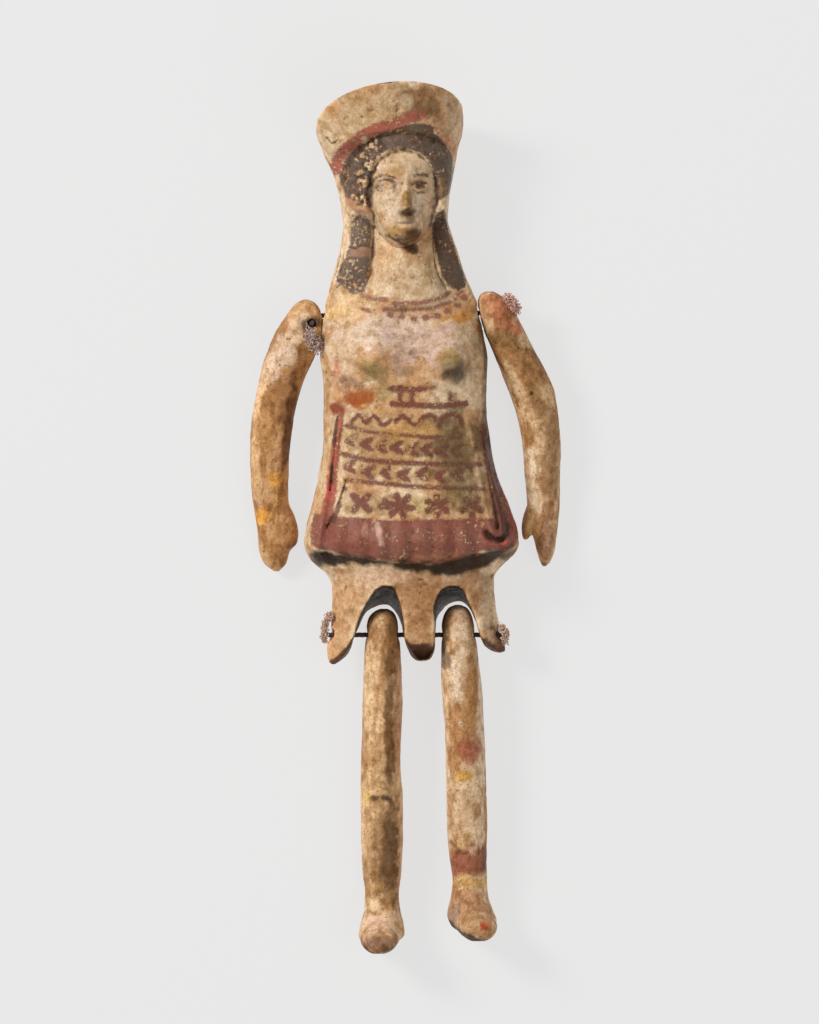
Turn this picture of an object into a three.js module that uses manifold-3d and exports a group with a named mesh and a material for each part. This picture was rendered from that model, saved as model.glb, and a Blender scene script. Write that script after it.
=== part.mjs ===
// A small jointed terracotta doll with a flaring headdress, laid on its flat back.
// Millimetres. +X to the viewer's right, +Y towards the head, +Z up out of the front.
// The origin is under the middle of the doll, on the surface that it lies on.
import * as THREE from "three";
import { mergeVertices } from "three/addons/utils/BufferGeometryUtils.js";
import Module from "manifold-3d";

const wasm = await Module();
wasm.setup();

// Driving dimensions.
const dollLength = 120; // top of the headdress to the toes of the longer leg
const cordDiameter = 0.7;
const boreDiameter = 1.7; // the holes pierced in the clay for the cords
const limbGap = 0.3; // between an arm and the shoulder that it hangs beside
const legClearance = 0.8; // each side of a leg in the slot of the skirt that it hangs in
const knotGap = 0.15; // between a knot and the mouth of its hole
const knotDiameter = 2.1;
const knotLength = 1.1;
const chipWidth = 0.9; // of the break that opens the hole in one shoulder

// The free forms are drawn for a doll 120 mm long and follow its length.
const drawnLength = 120;
const unit = dollLength / drawnLength;

// The two lines on which the cords run, drawn.
const armCordLevel = 28.2;
const armCordHeight = 4.7;
const legCordLevel = -16.1;
const legCordHeight = 5.0;

// A smooth curve through [level, value] points, which never overshoots them.
function profile(points) {
  const sorted = [...points].sort((a, b) => a[0] - b[0]);
  const x = sorted.map((p) => p[0]);
  const v = sorted.map((p) => p[1]);
  const last = x.length - 1;
  const slope = x.slice(1).map((xi, i) => (v[i + 1] - v[i]) / (xi - x[i]));
  const tangent = x.map((_, i) => {
    if (i === 0) return slope[0];
    if (i === last) return slope[last - 1];
    const [a, b] = [slope[i - 1], slope[i]];
    return a * b > 0 ? (2 * a * b) / (a + b) : 0;
  });
  return (at) => {
    if (at <= x[0]) return v[0];
    if (at >= x[last]) return v[last];
    const i = x.findIndex((xi) => xi > at) - 1;
    const width = x[i + 1] - x[i];
    const t = (at - x[i]) / width;
    const [t2, t3] = [t * t, t * t * t];
    return (
      (2 * t3 - 3 * t2 + 1) * v[i] +
      (t3 - 2 * t2 + t) * width * tangent[i] +
      (3 * t2 - 2 * t3) * v[i + 1] +
      (t3 - t2) * width * tangent[i + 1]
    );
  };
}

const mix = (a, b, t) => a + (b - a) * t;
const clamp01 = (t) => Math.min(1, Math.max(0, t));
const step = (from, to, at) => {
  const t = clamp01((at - from) / (to - from));
  return t * t * (3 - 2 * t);
};
const bell = (at, width) => Math.exp(-((at / width) ** 2));

// The larger of two heights, blended where they are within about `soft` of each other.
function over(a, b, soft) {
  const h = clamp01(0.5 + (a - b) / (2 * soft));
  return mix(b, a, h) + soft * h * (1 - h);
}

// A closed skin: place(i, j) gives the point of column i in row j, and each end row is one point.
function skin(columns, rows, place) {
  const geometry = new THREE.SphereGeometry(1, columns, rows);
  const { position, uv } = geometry.attributes;
  for (let n = 0; n < position.count; n++) {
    const j = Math.round((1 - uv.getY(n)) * rows);
    const end = j === 0 || j === rows;
    const i = end ? 0 : Math.round(uv.getX(n) * columns) % columns;
    const [x, y, z] = place(i, j);
    position.setXYZ(n, x * unit, y * unit, z * unit);
  }
  return geometry;
}

function toSolid(geometry) {
  const bare = geometry.index ? geometry.toNonIndexed() : geometry.clone();
  bare.deleteAttribute("normal");
  bare.deleteAttribute("uv");
  const merged = mergeVertices(bare, 1e-4);
  return new wasm.Manifold(
    new wasm.Mesh({
      numProp: 3,
      vertProperties: merged.attributes.position.array,
      triVerts: new Uint32Array(merged.index.array),
    }),
  );
}

function toGeometry(solid) {
  const mesh = solid.getMesh();
  const geometry = new THREE.BufferGeometry();
  geometry.setAttribute("position", new THREE.BufferAttribute(mesh.vertProperties, 3));
  geometry.setIndex(new THREE.BufferAttribute(mesh.triVerts, 1));
  geometry.computeVertexNormals();
  return geometry;
}

// A round tube of a given diameter along a curve, closed at both ends.
function tube(curve, diameter, sides, steps) {
  const section = new THREE.Shape();
  for (let k = 0; k < sides; k++) {
    const angle = (2 * Math.PI * k) / sides;
    const [x, y] = [(Math.cos(angle) * diameter) / 2, (Math.sin(angle) * diameter) / 2];
    if (k === 0) section.moveTo(x, y);
    else section.lineTo(x, y);
  }
  return new THREE.ExtrudeGeometry(section, { steps, extrudePath: curve, bevelEnabled: false });
}

// Rows at chosen levels: each stretch is [level that it runs down to, rows in it].
function rowLevels(start, stretches) {
  const levels = [start];
  for (const [to, count] of stretches) {
    const from = levels[levels.length - 1];
    for (let k = 1; k <= count; k++) levels.push(mix(from, to, k / count));
  }
  return levels;
}

// The moulded trunk: headdress, head, bust, apron and the skirt with its three tabs.
const trunkLeft = profile([
  [55.4, -12.1], [53.7, -12.45], [50.4, -11.35], [47.1, -9.75], [43.8, -8.9], [40.5, -8.45],
  [37.2, -8.9], [33.8, -9.7], [30.5, -10.7], [27, -11.35], [22.8, -11.6], [18, -11.2],
  [11, -11.2], [6.3, -11.8], [1.9, -12.7], [-1.4, -13.55], [-3.6, -13.85], [-5.2, -13.3],
  [-6.9, -11.7], [-8.1, -10.5], [-9.6, -10.05], [-13, -10], [-15, -10.2], [-17, -10.65],
  [-19, -10.7], [-20.2, -10.3],
]);
const trunkRight = profile([
  [56, 7.95], [53.7, 7.8], [50.4, 6.95], [47.1, 6.4], [43.8, 5.85], [41, 5.65],
  [38.3, 6.5], [35, 7.6], [31.65, 8.9], [29.45, 9.8], [26, 10.5], [21.7, 11.1],
  [14, 11.1], [10.7, 11.5], [6.3, 12.45], [1.9, 14.1], [-1.4, 15.2], [-3.6, 15.5],
  [-5, 14.8], [-6.9, 12.9], [-8.2, 12.1], [-12.4, 12.4], [-15, 12.9], [-16.2, 13.15],
  [-17.5, 13.65], [-20.2, 13.5],
]);
const trunkFront = profile([
  [55, 16.6], [51, 14.7], [49.4, 13.9], [48.2, 11.4], [44, 8.6], [39, 7.6], [35, 7.6], [31, 8.2],
  [28, 9.7],
  [22, 10.9], [16, 10.8], [11, 10.4], [5, 11], [0, 12], [-3, 12.4], [-4.6, 11.7], [-6.5, 10.4],
  [-8, 9.9], [-11, 9.6], [-14, 9], [-18, 7.6], [-20.2, 6.2],
]);
const trunkBack = profile([
  [55, 1.6], [50, 0.6], [46, -0.3], [30, -0.5], [0, -0.6], [-8, -0.5], [-11, 0.2], [-14, 1],
  [-17, 2], [-20.2, 3.6],
]);
const widestHeight = profile([
  [55, 8.6], [46, 6.2], [38, 4.6], [28.2, armCordHeight], [0, 4.8], [-12, 4.6], [-20.2, 4.9],
]);
// Rows slant on the headdress, whose front rim stands higher, and on the slots of the skirt.
const rowRise = profile([[55, 5.2], [50, 4.2], [46.5, 2.6], [42, 0.8], [38, 0]]);
const rowLean = profile([[55, 1.1], [47, 0.3], [42, 0]]);

const frontColumns = 40;
const backColumns = 10;
const pleats = 10;
const trunkRows = rowLevels(54.73, [
  [49.4, 3], [48.2, 1], [37, 15], [30, 4], [18, 6], [0.5, 7], [-3.5, 3], [-7, 7], [-9, 2],
  [-20.2, 6],
]);
const capRows = 3;

// Sideways share of a column, from -1 at the left edge to 1 at the right edge.
function sidewaysOf(i) {
  const front = i <= frontColumns;
  const share = front ? i / frontColumns : 1 - (i - frontColumns) / backColumns;
  return { front, side: mix(-Math.cos(Math.PI * share), 2 * share - 1, front ? 0.5 : 0.7) };
}

// The face: half its width, and the height of its middle line, at falling levels.
const faceMiddle = -0.35;
const faceHalf = profile([
  [53, 3.4], [51, 4.4], [48.5, 4.9], [45.5, 4.95], [43, 4.6], [41, 4],
  [39.3, 3.2], [38.2, 2.3], [37.2, 1.3],
]);
const faceTop = profile([
  [53, 10.8], [50.5, 12.2], [47.6, 13.1], [45.6, 12.9], [43, 13.2], [41, 13.2],
  [38.9, 13.4], [37.9, 12.4], [36.9, 9],
]);
const faceEdge = 8;

function faceHeight(x, y) {
  const q = Math.abs(x - faceMiddle) / faceHalf(y);
  return faceEdge + (faceTop(y) - faceEdge) * Math.sqrt(Math.max(0, 1 - q ** 2.4)) - 5 * Math.max(0, q - 1);
}

function faceCarving(x, y) {
  const dx = x - faceMiddle - 0.15;
  const pair = (at, width, level, tall) =>
    [-at, at].reduce((sum, eye) => sum + bell(dx - eye, width) * bell(y - level, tall), 0);
  const nose = 2 * bell(dx, 0.85) * step(47.9, 42.6, y) * step(41.5, 42.3, y);
  const lips = bell(dx, 1.3) * (bell(y - 40.7, 0.45) + bell(y - 39.8, 0.45));
  const sockets = pair(2.2, 1.2, 45.7, 0.9);
  const lids = pair(2.2, 0.9, 45.3, 0.5);
  return nose + 0.4 * lips - 0.9 * sockets + 0.6 * lids;
}

// The hair: a dome round the face, with a roll of curls on it from ear to ear.
const roll = { y: 44.6, halfWidth: 4.9, up: 5.9, outer: 1.45, curls: 12 };

function hairHeight(x, y) {
  const dx = x - faceMiddle;
  const dy = y - roll.y;
  const round = Math.sqrt(Math.max(0, 1 - (dx / 8.7) ** 2 - (dy / 20) ** 2));
  const dome = 5 + mix(6.4, 8.1, step(1, 6, dy)) * round;
  const q = Math.hypot(dx / roll.halfWidth, dy / roll.up);
  const ring = step(0.85, 1.05, q) * step(roll.outer + 0.3, roll.outer - 0.1, q);
  const curl = 0.75 + 0.25 * Math.cos(roll.curls * Math.atan2(dx, dy / 1.2));
  return (dome + curl * ring) * step(-9, -2, dy);
}

const leftLock = profile([[42, -6.3], [36, -6.6], [31, -7.3]]);
const rightLock = profile([[42, 5.1], [36, 5.8], [31, 7.2]]);

function lockHeight(x, y, line) {
  const ends = step(28, 36, y) * step(44, 41, y);
  return 7.6 - 1.5 * (1 - ends) + 1.4 * ends * Math.sqrt(Math.max(0, 1 - ((x - line(y)) / 1.9) ** 2));
}

function neckHeight(x, y) {
  const half = mix(4.35, 6.4, step(35, 29.5, y));
  const q = ((x + 0.1) / half) ** 2;
  return 6.4 + 3.9 * Math.sqrt(Math.max(0, 1 - q)) - 4 * Math.max(0, q - 1) - 8 * step(40, 46, y);
}

const breasts = [
  { x: -4.7, y: 22.3 },
  { x: 6.3, y: 22 },
];

// A rolled fold that runs down the side of the apron.
const leftFold = profile([[13.5, -9.2], [3, -11.1], [-4, -12.2]]);
const rightInnerFold = profile([[13.5, 8.7], [3, 10.8], [-3, 12.3]]);
const rightOuterFold = profile([[10, 10.4], [3, 12.3], [-3, 14]]);

function foldHeight(x, y, line, width, top) {
  return bell(x - line(y), width) * step(top, top - 3, y) * step(-5.4, -4.2, y);
}

// The apron's hem stands proud of the skirt below it and is pleated.
const hemLine = profile([
  [-14, -4.2], [-9.8, -4.6], [-5.2, -5.64], [-0.8, -6.05], [4.8, -6.3], [8.9, -5.2], [13, -4.4],
]);

function apronCarving(x, y, side) {
  const pleat = 0.5 - 0.5 * Math.cos(side * Math.PI * pleats);
  const pleated = step(1.5, -2.5, y) * step(-13, -10.5, x) * step(14, 12, x);
  const panel = step(hemLine(x) - 0.45, hemLine(x) + 0.35, y) * step(13, 11, y);
  const folds =
    0.9 * foldHeight(x, y, leftFold, 0.65, 15) +
    0.8 * foldHeight(x, y, rightInnerFold, 0.6, 15) +
    0.9 * foldHeight(x, y, rightOuterFold, 0.65, 11);
  return panel * (0.5 + 0.6 * step(2, -5, y) + 0.45 * pleat * pleated) + folds;
}

function trunkHeight(side, level, x, y) {
  const rim = Math.pow(Math.max(0, 1 - Math.abs(side) ** 2.6), 0.5);
  const widest = widestHeight(level);
  let z = widest + (trunkFront(level) - widest) * rim;
  if (y > 28 && level < 49) {
    const fade = step(0, 0.35, rim);
    const bare = z;
    z = over(z, neckHeight(x, y), 0.7);
    z = over(z, lockHeight(x, y, leftLock), 0.7);
    z = over(z, lockHeight(x, y, rightLock), 0.7);
    z = over(z, hairHeight(x, y), 0.4);
    z = over(z, faceHeight(x, y) + faceCarving(x, y), 0.25);
    z = mix(bare, z, fade);
  }
  for (const b of breasts) {
    const dy = y - b.y;
    z += 1.75 * bell(x - b.x, 3.1) * bell(dy, dy > 0 ? 4.2 : 2.5) * step(0, 0.5, rim);
  }
  return z + apronCarving(x, y, side) * step(0, 0.4, rim);
}

function trunkPoint(i, level) {
  const { front, side } = sidewaysOf(i);
  const lean = rowLean(level);
  const left = trunkLeft(level - lean);
  const right = trunkRight(level + lean);
  const turn = Math.sqrt(Math.max(0, 1 - side * side));
  const x = mix(left, right, (side + 1) / 2);
  const y = level + lean * side + rowRise(level) * turn * (front ? 1 : -0.2);
  if (front) return [x, y, trunkHeight(side, level, x, y)];
  const widest = widestHeight(level);
  const round = Math.pow(Math.max(0, 1 - Math.abs(side) ** 5), 0.45);
  return [x, y, Math.max(0, widest + (trunkBack(level) - widest) * round)];
}

function trunkSkin() {
  const columns = frontColumns + backColumns;
  const top = trunkRows[0];
  const bottom = trunkRows[trunkRows.length - 1];
  const dish = { x: -2.2, y: top - 0.6, z: 9 };
  const base = { x: 1.6, y: bottom - 0.15, z: 4.8 };
  const rows = capRows + trunkRows.length;
  return skin(columns, rows, (i, j) => {
    if (j === 0) return [dish.x, dish.y, dish.z];
    if (j === rows) return [base.x, base.y, base.z];
    if (j < capRows) {
      const [x, y, z] = trunkPoint(i, top);
      const share = j === 1 ? 0.55 : 0.93;
      const sunk = j === 1 ? 0.7 : 0.15;
      return [mix(dish.x, x, share), mix(dish.y, y, share) - sunk, mix(dish.z, z, share)];
    }
    return trunkPoint(i, trunkRows[Math.min(j - capRows, trunkRows.length - 1)]);
  });
}

// Levels from one end of a limb to the other, closer together towards both ends.
function roundEnds(from, to, count) {
  const share = (k) => 0.5 - 0.5 * Math.cos((Math.PI * k) / count);
  return Array.from({ length: count + 1 }, (_, k) => mix(from, to, share(k)));
}

// A limb from its top to its tip: each row is an oval from `left` to `right` and from `back` to `front`.
function limbSkin(limb, columns, rows) {
  const levels = roundEnds(limb.top, limb.tip, rows);
  return skin(columns, rows, (i, j) => {
    const y = levels[j];
    const [left, right, back, front] = [limb.left(y), limb.right(y), limb.back(y), limb.front(y)];
    if (j === 0 || j === rows) return [(left + right) / 2, y, (back + front) / 2];
    const angle = (2 * Math.PI * i) / columns;
    return [
      (left + right) / 2 - ((right - left) / 2) * Math.cos(angle),
      y,
      (back + front) / 2 + ((front - back) / 2) * Math.sin(angle),
    ];
  });
}

const limbColumns = 12;
const legRows = 16;
const armRows = 18;

const leftLeg = {
  top: -12.5,
  tip: -58.8,
  left: profile([[-12.5, -3.9], [-12.9, -4.5], [-13.6, -5], [-14.8, -5.45], [-17, -5.95], [-20, -5.9],
    [-31, -6.25], [-38, -6.4], [-44, -6.4], [-49, -6.1], [-51.5, -5.7], [-54, -5.75], [-56, -6.2],
    [-57.6, -6.45], [-58.8, -5.4]]),
  right: profile([[-12.5, -2.6], [-12.9, -2], [-13.6, -1.55], [-14.8, -1.2], [-17, -0.9], [-20, -0.5],
    [-26, -0.35], [-34, -0.7], [-38.8, -0.35], [-44, -0.35], [-49, -0.6], [-52, -0.9], [-54.2, -0.7],
    [-56, -0.2], [-57.3, -0.1], [-58.8, -1.6]]),
  back: profile([[-12.5, 4.2], [-13.2, 3], [-14.8, 2.3], [-20, 1.6], [-30, 0.7], [-38, 0.3], [-46, 0.3],
    [-52, 0.7], [-55, 0.15], [-57.6, 0.5], [-58.8, 1.7]]),
  front: profile([[-12.5, 5.6], [-13.2, 6.8], [-14.8, 7.5], [-20, 7.4], [-30, 6.9], [-40, 6.5],
    [-46, 6.2],
    [-52, 5.6], [-54.5, 6.2], [-57, 6.8], [-58.8, 5.2]]),
  foot: { heel: [-2.6, -56.9, 2.5], toe: [-4.1, -58.35, 9.4] },
};

const rightLeg = {
  top: -11.95,
  tip: -57,
  left: profile([[-11.95, 6.6], [-12.4, 5.9], [-13.5, 5.15], [-15, 4.85], [-20, 4.75], [-26, 4.9],
    [-33, 5.3], [-42, 5.6], [-46.5, 6], [-50, 6.5], [-52, 6.3], [-54.7, 5.75], [-56.2, 6.3],
    [-57, 7.4]]),
  right: profile([[-11.95, 7.8], [-12.4, 8.5], [-13.5, 9.2], [-15, 9.55], [-20, 10.1], [-26, 10.7],
    [-33, 11], [-42, 11.35], [-46.5, 11.2], [-50, 11.25], [-52, 11.45], [-54, 12.1],
    [-55.5, 12.6], [-57, 11.6]]),
  back: profile([[-11.95, 4.2], [-12.7, 3], [-14.5, 2.3], [-20, 1.6], [-30, 0.7], [-38, 0.3], [-46, 0.3],
    [-51, 0.7], [-54, 0.15], [-56, 0.5], [-57, 1.6]]),
  front: profile([[-11.95, 5.6], [-12.7, 6.8], [-14.5, 7.5], [-20, 7.4], [-30, 6.9], [-40, 6.5],
    [-46, 6.2],
    [-51, 5.6], [-53.5, 6.3], [-56, 6.8], [-57, 5.2]]),
  foot: { heel: [8.2, -55, 2.5], toe: [10.8, -56.65, 9.2] },
};

// A foot without toes: an oval form from the heel to the toe, flatter underneath.
const footColumns = 10;
const footRows = 7;
const footHalfWidth = profile([[0, 0.6], [0.12, 1.9], [0.35, 2.4], [0.7, 2.7], [0.9, 2.1], [1, 0.6]]);
const footUp = profile([[0, 0.6], [0.12, 1.7], [0.35, 2.6], [0.7, 1.9], [0.9, 1.3], [1, 0.4]]);
const footDown = profile([[0, 0.5], [0.12, 1.6], [0.35, 2.1], [0.7, 2.2], [0.9, 1.8], [1, 0.4]]);

function footSkin({ heel, toe }) {
  const start = new THREE.Vector3(...heel);
  const along = new THREE.Vector3(...toe).sub(start);
  const length = along.length();
  along.normalize();
  const across = new THREE.Vector3(0, 1, 0).cross(along).normalize();
  const up = along.clone().cross(across);
  return skin(footColumns, footRows, (i, j) => {
    const share = j / footRows;
    const centre = start.clone().addScaledVector(along, length * (share * 1.25 - 0.2));
    if (j === 0 || j === footRows) return centre.toArray();
    const angle = (2 * Math.PI * i) / footColumns;
    const rise = Math.sin(angle) * (Math.sin(angle) > 0 ? footUp(share) : footDown(share));
    centre.addScaledVector(across, -Math.cos(angle) * footHalfWidth(share));
    return centre.addScaledVector(up, rise).toArray();
  });
}

const leftArm = {
  outward: -1,
  top: 30.1,
  tip: -7.4,
  left: profile([[30.1, -14], [29.6, -14.9], [28.4, -15.9], [27.2, -16.7], [25, -18.1], [20.7, -19.6],
    [16.2, -20.55], [12.9, -21.1], [8, -21.25], [3, -21], [-1.4, -20.3], [-4.7, -19.9],
    [-6.3, -19.3], [-7.4, -17.9]]),
  right: profile([[30.1, -13.1], [29.6, -12.2], [28.4, -11.45], [27.2, -11.15], [25.8, -11.15],
    [22.9, -12.1],
    [18.5, -13.95], [13, -15.3], [8, -15.85], [2.5, -15.95], [0, -15], [-2, -14.6], [-3.4, -14.8],
    [-4.6, -15.8], [-6.3, -16.3], [-7.4, -17.3]]),
  back: profile([[30.1, 4.2], [29.4, 2.9], [27, 2.1], [20, 1.1], [10, 0.5], [0, 0.1], [-5, 0.05],
    [-7.4, 0.9]]),
  front: profile([[30.1, 5.4], [29.4, 6.7], [27, 7.3], [20, 6.5], [10, 5.4], [2, 4.3], [-2, 4.2],
    [-5, 3.5], [-7.4, 2]]),
  thumb: { root: [-16.2, 0.8, 2.3], tip: [-15.1, -3.7, 2.3], halfWidth: 0.85 },
};

const rightArm = {
  outward: 1,
  top: 31.2,
  tip: -6.7,
  left: profile([[31.2, 10.9], [30.8, 10.1], [29.6, 9.75], [28.1, 9.95], [25.7, 10.7], [22.4, 12.1],
    [18.3, 13.7], [14.2, 15.1], [10.2, 15.9], [5.5, 16.3], [0.9, 16.55], [-1.8, 16.75], [-3, 17.1],
    [-5.6, 18.1], [-6.7, 18.7]]),
  right: profile([[31.2, 11.9], [30.8, 12.7], [29.6, 14.1], [27.6, 15.3], [25.5, 16.4],
    [23.3, 17.5], [20.2, 19.2],
    [17.2, 20.4], [13.7, 20.9], [9.6, 21.25], [2.8, 21.1], [-4, 20.5], [-6, 19.8], [-6.7, 19.2]]),
  back: profile([[31.2, 4.2], [30.4, 2.9], [28, 2.1], [20, 1.1], [10, 0.5], [0, 0.1],
    [-4.5, 0.05], [-6.7, 0.9]]),
  front: profile([[31.2, 5.4], [30.4, 6.7], [28, 7.3], [20, 6.5], [10, 5.4], [2, 4.3], [-2, 4.0],
    [-5, 3.3], [-6.7, 2]]),
  thumb: { root: [17.5, 3, 2.4], tip: [16.05, -2.7, 2.4], halfWidth: 0.75 },
};

function thumbSkin({ root, tip, halfWidth }) {
  const start = new THREE.Vector3(...root);
  const end = new THREE.Vector3(...tip);
  const columns = 6;
  const rows = 5;
  return skin(columns, rows, (i, j) => {
    const centre = start.clone().lerp(end, j / rows);
    if (j === 0 || j === rows) return centre.toArray();
    const angle = (2 * Math.PI * i) / columns;
    const round = halfWidth * Math.sqrt(Math.sin((Math.PI * j) / rows));
    return [centre.x - round * Math.cos(angle), centre.y, centre.z + 1.2 * round * Math.sin(angle)];
  });
}

// The slot of the skirt round the top of a leg, open below, cut through from front to back.
// Its arch stands higher in front. `leftTab` and `rightTab` are the edges of the tabs beside it,
// drawn from far below up to where the sides of the slot run beside the leg.
const arch = { level: -9.35, backDrop: 2.4, front: 9.8 };
const slotThrough = 30;
const leftSlot = {
  leftTab: [[-13, -23], [-10.8, -20.1], [-9, -18.7], [-7.8, -17.3]],
  rightTab: [[3.2, -23], [3, -18.3], [1.4, -18.1], [0.35, -17]],
};
const rightSlot = {
  leftTab: [[1.4, -23], [1.6, -18.3], [3.1, -18.1], [4, -17]],
  rightTab: [[16, -23], [14.4, -18.3], [12.6, -17.8], [11.1, -16.9]],
};

function slotCutter(leg, { leftTab, rightTab }) {
  const beside = (level, sign) => {
    const edge = sign < 0 ? leg.left(level) : leg.right(level);
    return [edge + (sign * legClearance) / unit, level];
  };
  const centre = (leg.left(-15) + leg.right(-15)) / 2;
  const haunch = (sign) => [mix(centre, beside(-14, sign)[0], 0.72), -10.6];
  const points = [
    ...leftTab,
    beside(legCordLevel, -1),
    beside(-13.8, -1),
    haunch(-1),
    [centre, arch.level],
    haunch(1),
    beside(-13.8, 1),
    beside(legCordLevel, 1),
    ...[...rightTab].reverse(),
  ].map(([x, y]) => new THREE.Vector2(x * unit, y * unit));
  const outline = new THREE.Shape();
  outline.moveTo(points[0].x, points[0].y);
  outline.splineThru(points.slice(1));
  outline.closePath();
  const cutter = new THREE.ExtrudeGeometry(outline, {
    depth: slotThrough * unit,
    steps: 1,
    curveSegments: 3,
    bevelEnabled: false,
  });
  cutter.translate(0, 0, (-slotThrough / 2) * unit);
  const slant = arch.backDrop / arch.front;
  const lift = -arch.backDrop * unit;
  const shear = new THREE.Matrix4().set(1, 0, 0, 0, 0, 1, slant, lift, 0, 0, 1, 0, 0, 0, 0, 1);
  return cutter.applyMatrix4(shear);
}

const drawnPoint = (x, y, z) => new THREE.Vector3(x, y, z).multiplyScalar(unit);
const knotReach = knotGap + knotLength / 2;

// The cord through both shoulders: it turns up through the left arm and runs straight out of the right arm.
function armCordCurve() {
  const upward = new THREE.Vector3(0, 0, 1);
  const outward = new THREE.Vector3(0.86, 0.51, 0);
  const leftMouth = drawnPoint(-12.65, 27.7, leftArm.front(27.7));
  const rightMouth = drawnPoint(rightArm.right(29.3) + limbGap / unit, 29.3, 4.9);
  return new THREE.CatmullRomCurve3([
    leftMouth.clone().addScaledVector(upward, knotReach),
    leftMouth,
    drawnPoint(-12.6, 27.95, 5.8),
    drawnPoint(-11.6, armCordLevel, armCordHeight),
    drawnPoint(-9, armCordLevel, armCordHeight),
    drawnPoint(9.2, armCordLevel, armCordHeight),
    drawnPoint(12.2, 28.6, 4.8),
    rightMouth,
    rightMouth.clone().addScaledVector(outward, knotReach),
  ]);
}

// The cord through the three tabs and both legs.
function legCordCurve() {
  const level = legCordLevel;
  const left = drawnPoint(trunkLeft(level), level, legCordHeight);
  const right = drawnPoint(trunkRight(level), level, legCordHeight);
  left.x -= knotReach;
  right.x += knotReach;
  return new THREE.LineCurve3(left, right);
}

// A knot at a place on the cord, with the direction that the cord has there.
function knot(place, along) {
  const ball = new THREE.SphereGeometry(0.5, 10, 6);
  ball.scale(knotDiameter, knotLength, knotDiameter);
  ball.applyQuaternion(new THREE.Quaternion().setFromUnitVectors(new THREE.Vector3(0, 1, 0), along));
  return toSolid(ball.translate(place.x, place.y, place.z));
}

const armCord = armCordCurve();
const legCord = legCordCurve();
const boreSides = 10;
const armBore = () => toSolid(tube(armCord, boreDiameter, boreSides, 22));
const legBore = () => toSolid(tube(legCord, boreDiameter, boreSides, 1));

// The hole that the cord runs through inside the shoulders is straight.
function shoulderBore() {
  const end = (x) => drawnPoint(x, armCordLevel, armCordHeight);
  return toSolid(tube(new THREE.LineCurve3(end(-12.4), end(11.4)), boreDiameter, boreSides, 1));
}

function shoulderChip() {
  const cut = new THREE.BoxGeometry(2.6 * unit, chipWidth, 12 * unit, 1, 1, 1);
  cut.rotateZ(-0.12);
  cut.translate(10 * unit, (armCordLevel + 0.2) * unit, (armCordHeight + 6) * unit);
  return toSolid(cut);
}

function trunkSolid() {
  return toSolid(trunkSkin())
    .subtract(toSolid(slotCutter(leftLeg, leftSlot)))
    .subtract(toSolid(slotCutter(rightLeg, rightSlot)))
    .subtract(shoulderBore())
    .subtract(legBore())
    .subtract(shoulderChip());
}

function legSolid(leg) {
  return toSolid(limbSkin(leg, limbColumns, legRows)).add(toSolid(footSkin(leg.foot))).subtract(legBore());
}

function armSolid(arm) {
  return toSolid(limbSkin(arm, limbColumns, armRows))
    .add(toSolid(thumbSkin(arm.thumb)))
    .translate([arm.outward * limbGap, 0, 0])
    .subtract(armBore());
}

// A cord with a knot on each end.
function cordSolid(curve, steps) {
  const ends = [0, 1].map((t) => knot(curve.getPoint(t), curve.getTangent(t)));
  return toSolid(tube(curve, cordDiameter, 8, steps)).add(ends[0]).add(ends[1]);
}

const clay = (color) => new THREE.MeshStandardMaterial({ color, roughness: 0.8, metalness: 0 });
const paintedClay = clay(0xc2a583);
const bareClay = clay(0xc79a68);
const cordFibre = new THREE.MeshStandardMaterial({ color: 0x6a4a38, roughness: 0.95, metalness: 0 });

function named(name, solid, material) {
  const mesh = new THREE.Mesh(toGeometry(solid), material);
  mesh.name = name;
  return mesh;
}

const doll = new THREE.Group();
doll.add(
  named("trunk", trunkSolid(), paintedClay),
  named("left_arm", armSolid(leftArm), bareClay),
  named("right_arm", armSolid(rightArm), bareClay),
  named("left_leg", legSolid(leftLeg), bareClay),
  named("right_leg", legSolid(rightLeg), bareClay),
  named("arm_cord", cordSolid(armCord, 22), cordFibre),
  named("leg_cord", cordSolid(legCord, 4), cordFibre),
);

export default doll;
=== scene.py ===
# A small jointed terracotta doll with a flaring headdress, lying on its flat back.
# Forms are worked out in millimetres and turned into metres when a piece is finished.
# +X is the viewer's right, +Y is towards the head, +Z is up out of the doll's front.
import math

import bmesh
import bpy
import numpy as np
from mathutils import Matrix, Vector


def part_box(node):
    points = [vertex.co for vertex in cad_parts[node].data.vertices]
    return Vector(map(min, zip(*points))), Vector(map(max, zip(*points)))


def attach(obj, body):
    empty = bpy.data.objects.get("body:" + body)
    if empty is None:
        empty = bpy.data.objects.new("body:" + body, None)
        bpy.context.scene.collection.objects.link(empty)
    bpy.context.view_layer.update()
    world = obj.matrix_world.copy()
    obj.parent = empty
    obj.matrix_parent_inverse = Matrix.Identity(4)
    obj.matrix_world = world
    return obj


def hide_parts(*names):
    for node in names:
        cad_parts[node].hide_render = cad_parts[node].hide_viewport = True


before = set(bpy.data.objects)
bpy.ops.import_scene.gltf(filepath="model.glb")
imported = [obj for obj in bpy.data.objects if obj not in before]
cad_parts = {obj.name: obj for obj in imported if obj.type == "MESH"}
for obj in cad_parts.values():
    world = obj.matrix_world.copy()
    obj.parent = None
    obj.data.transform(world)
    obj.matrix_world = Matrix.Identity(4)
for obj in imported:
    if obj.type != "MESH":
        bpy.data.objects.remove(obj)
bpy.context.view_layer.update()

MM = 0.001
PIXEL = 0.13761  # millimetres to one pixel of the photograph
MIDDLE = (405.5, 518.0)  # the pixel at the frame's origin

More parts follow.
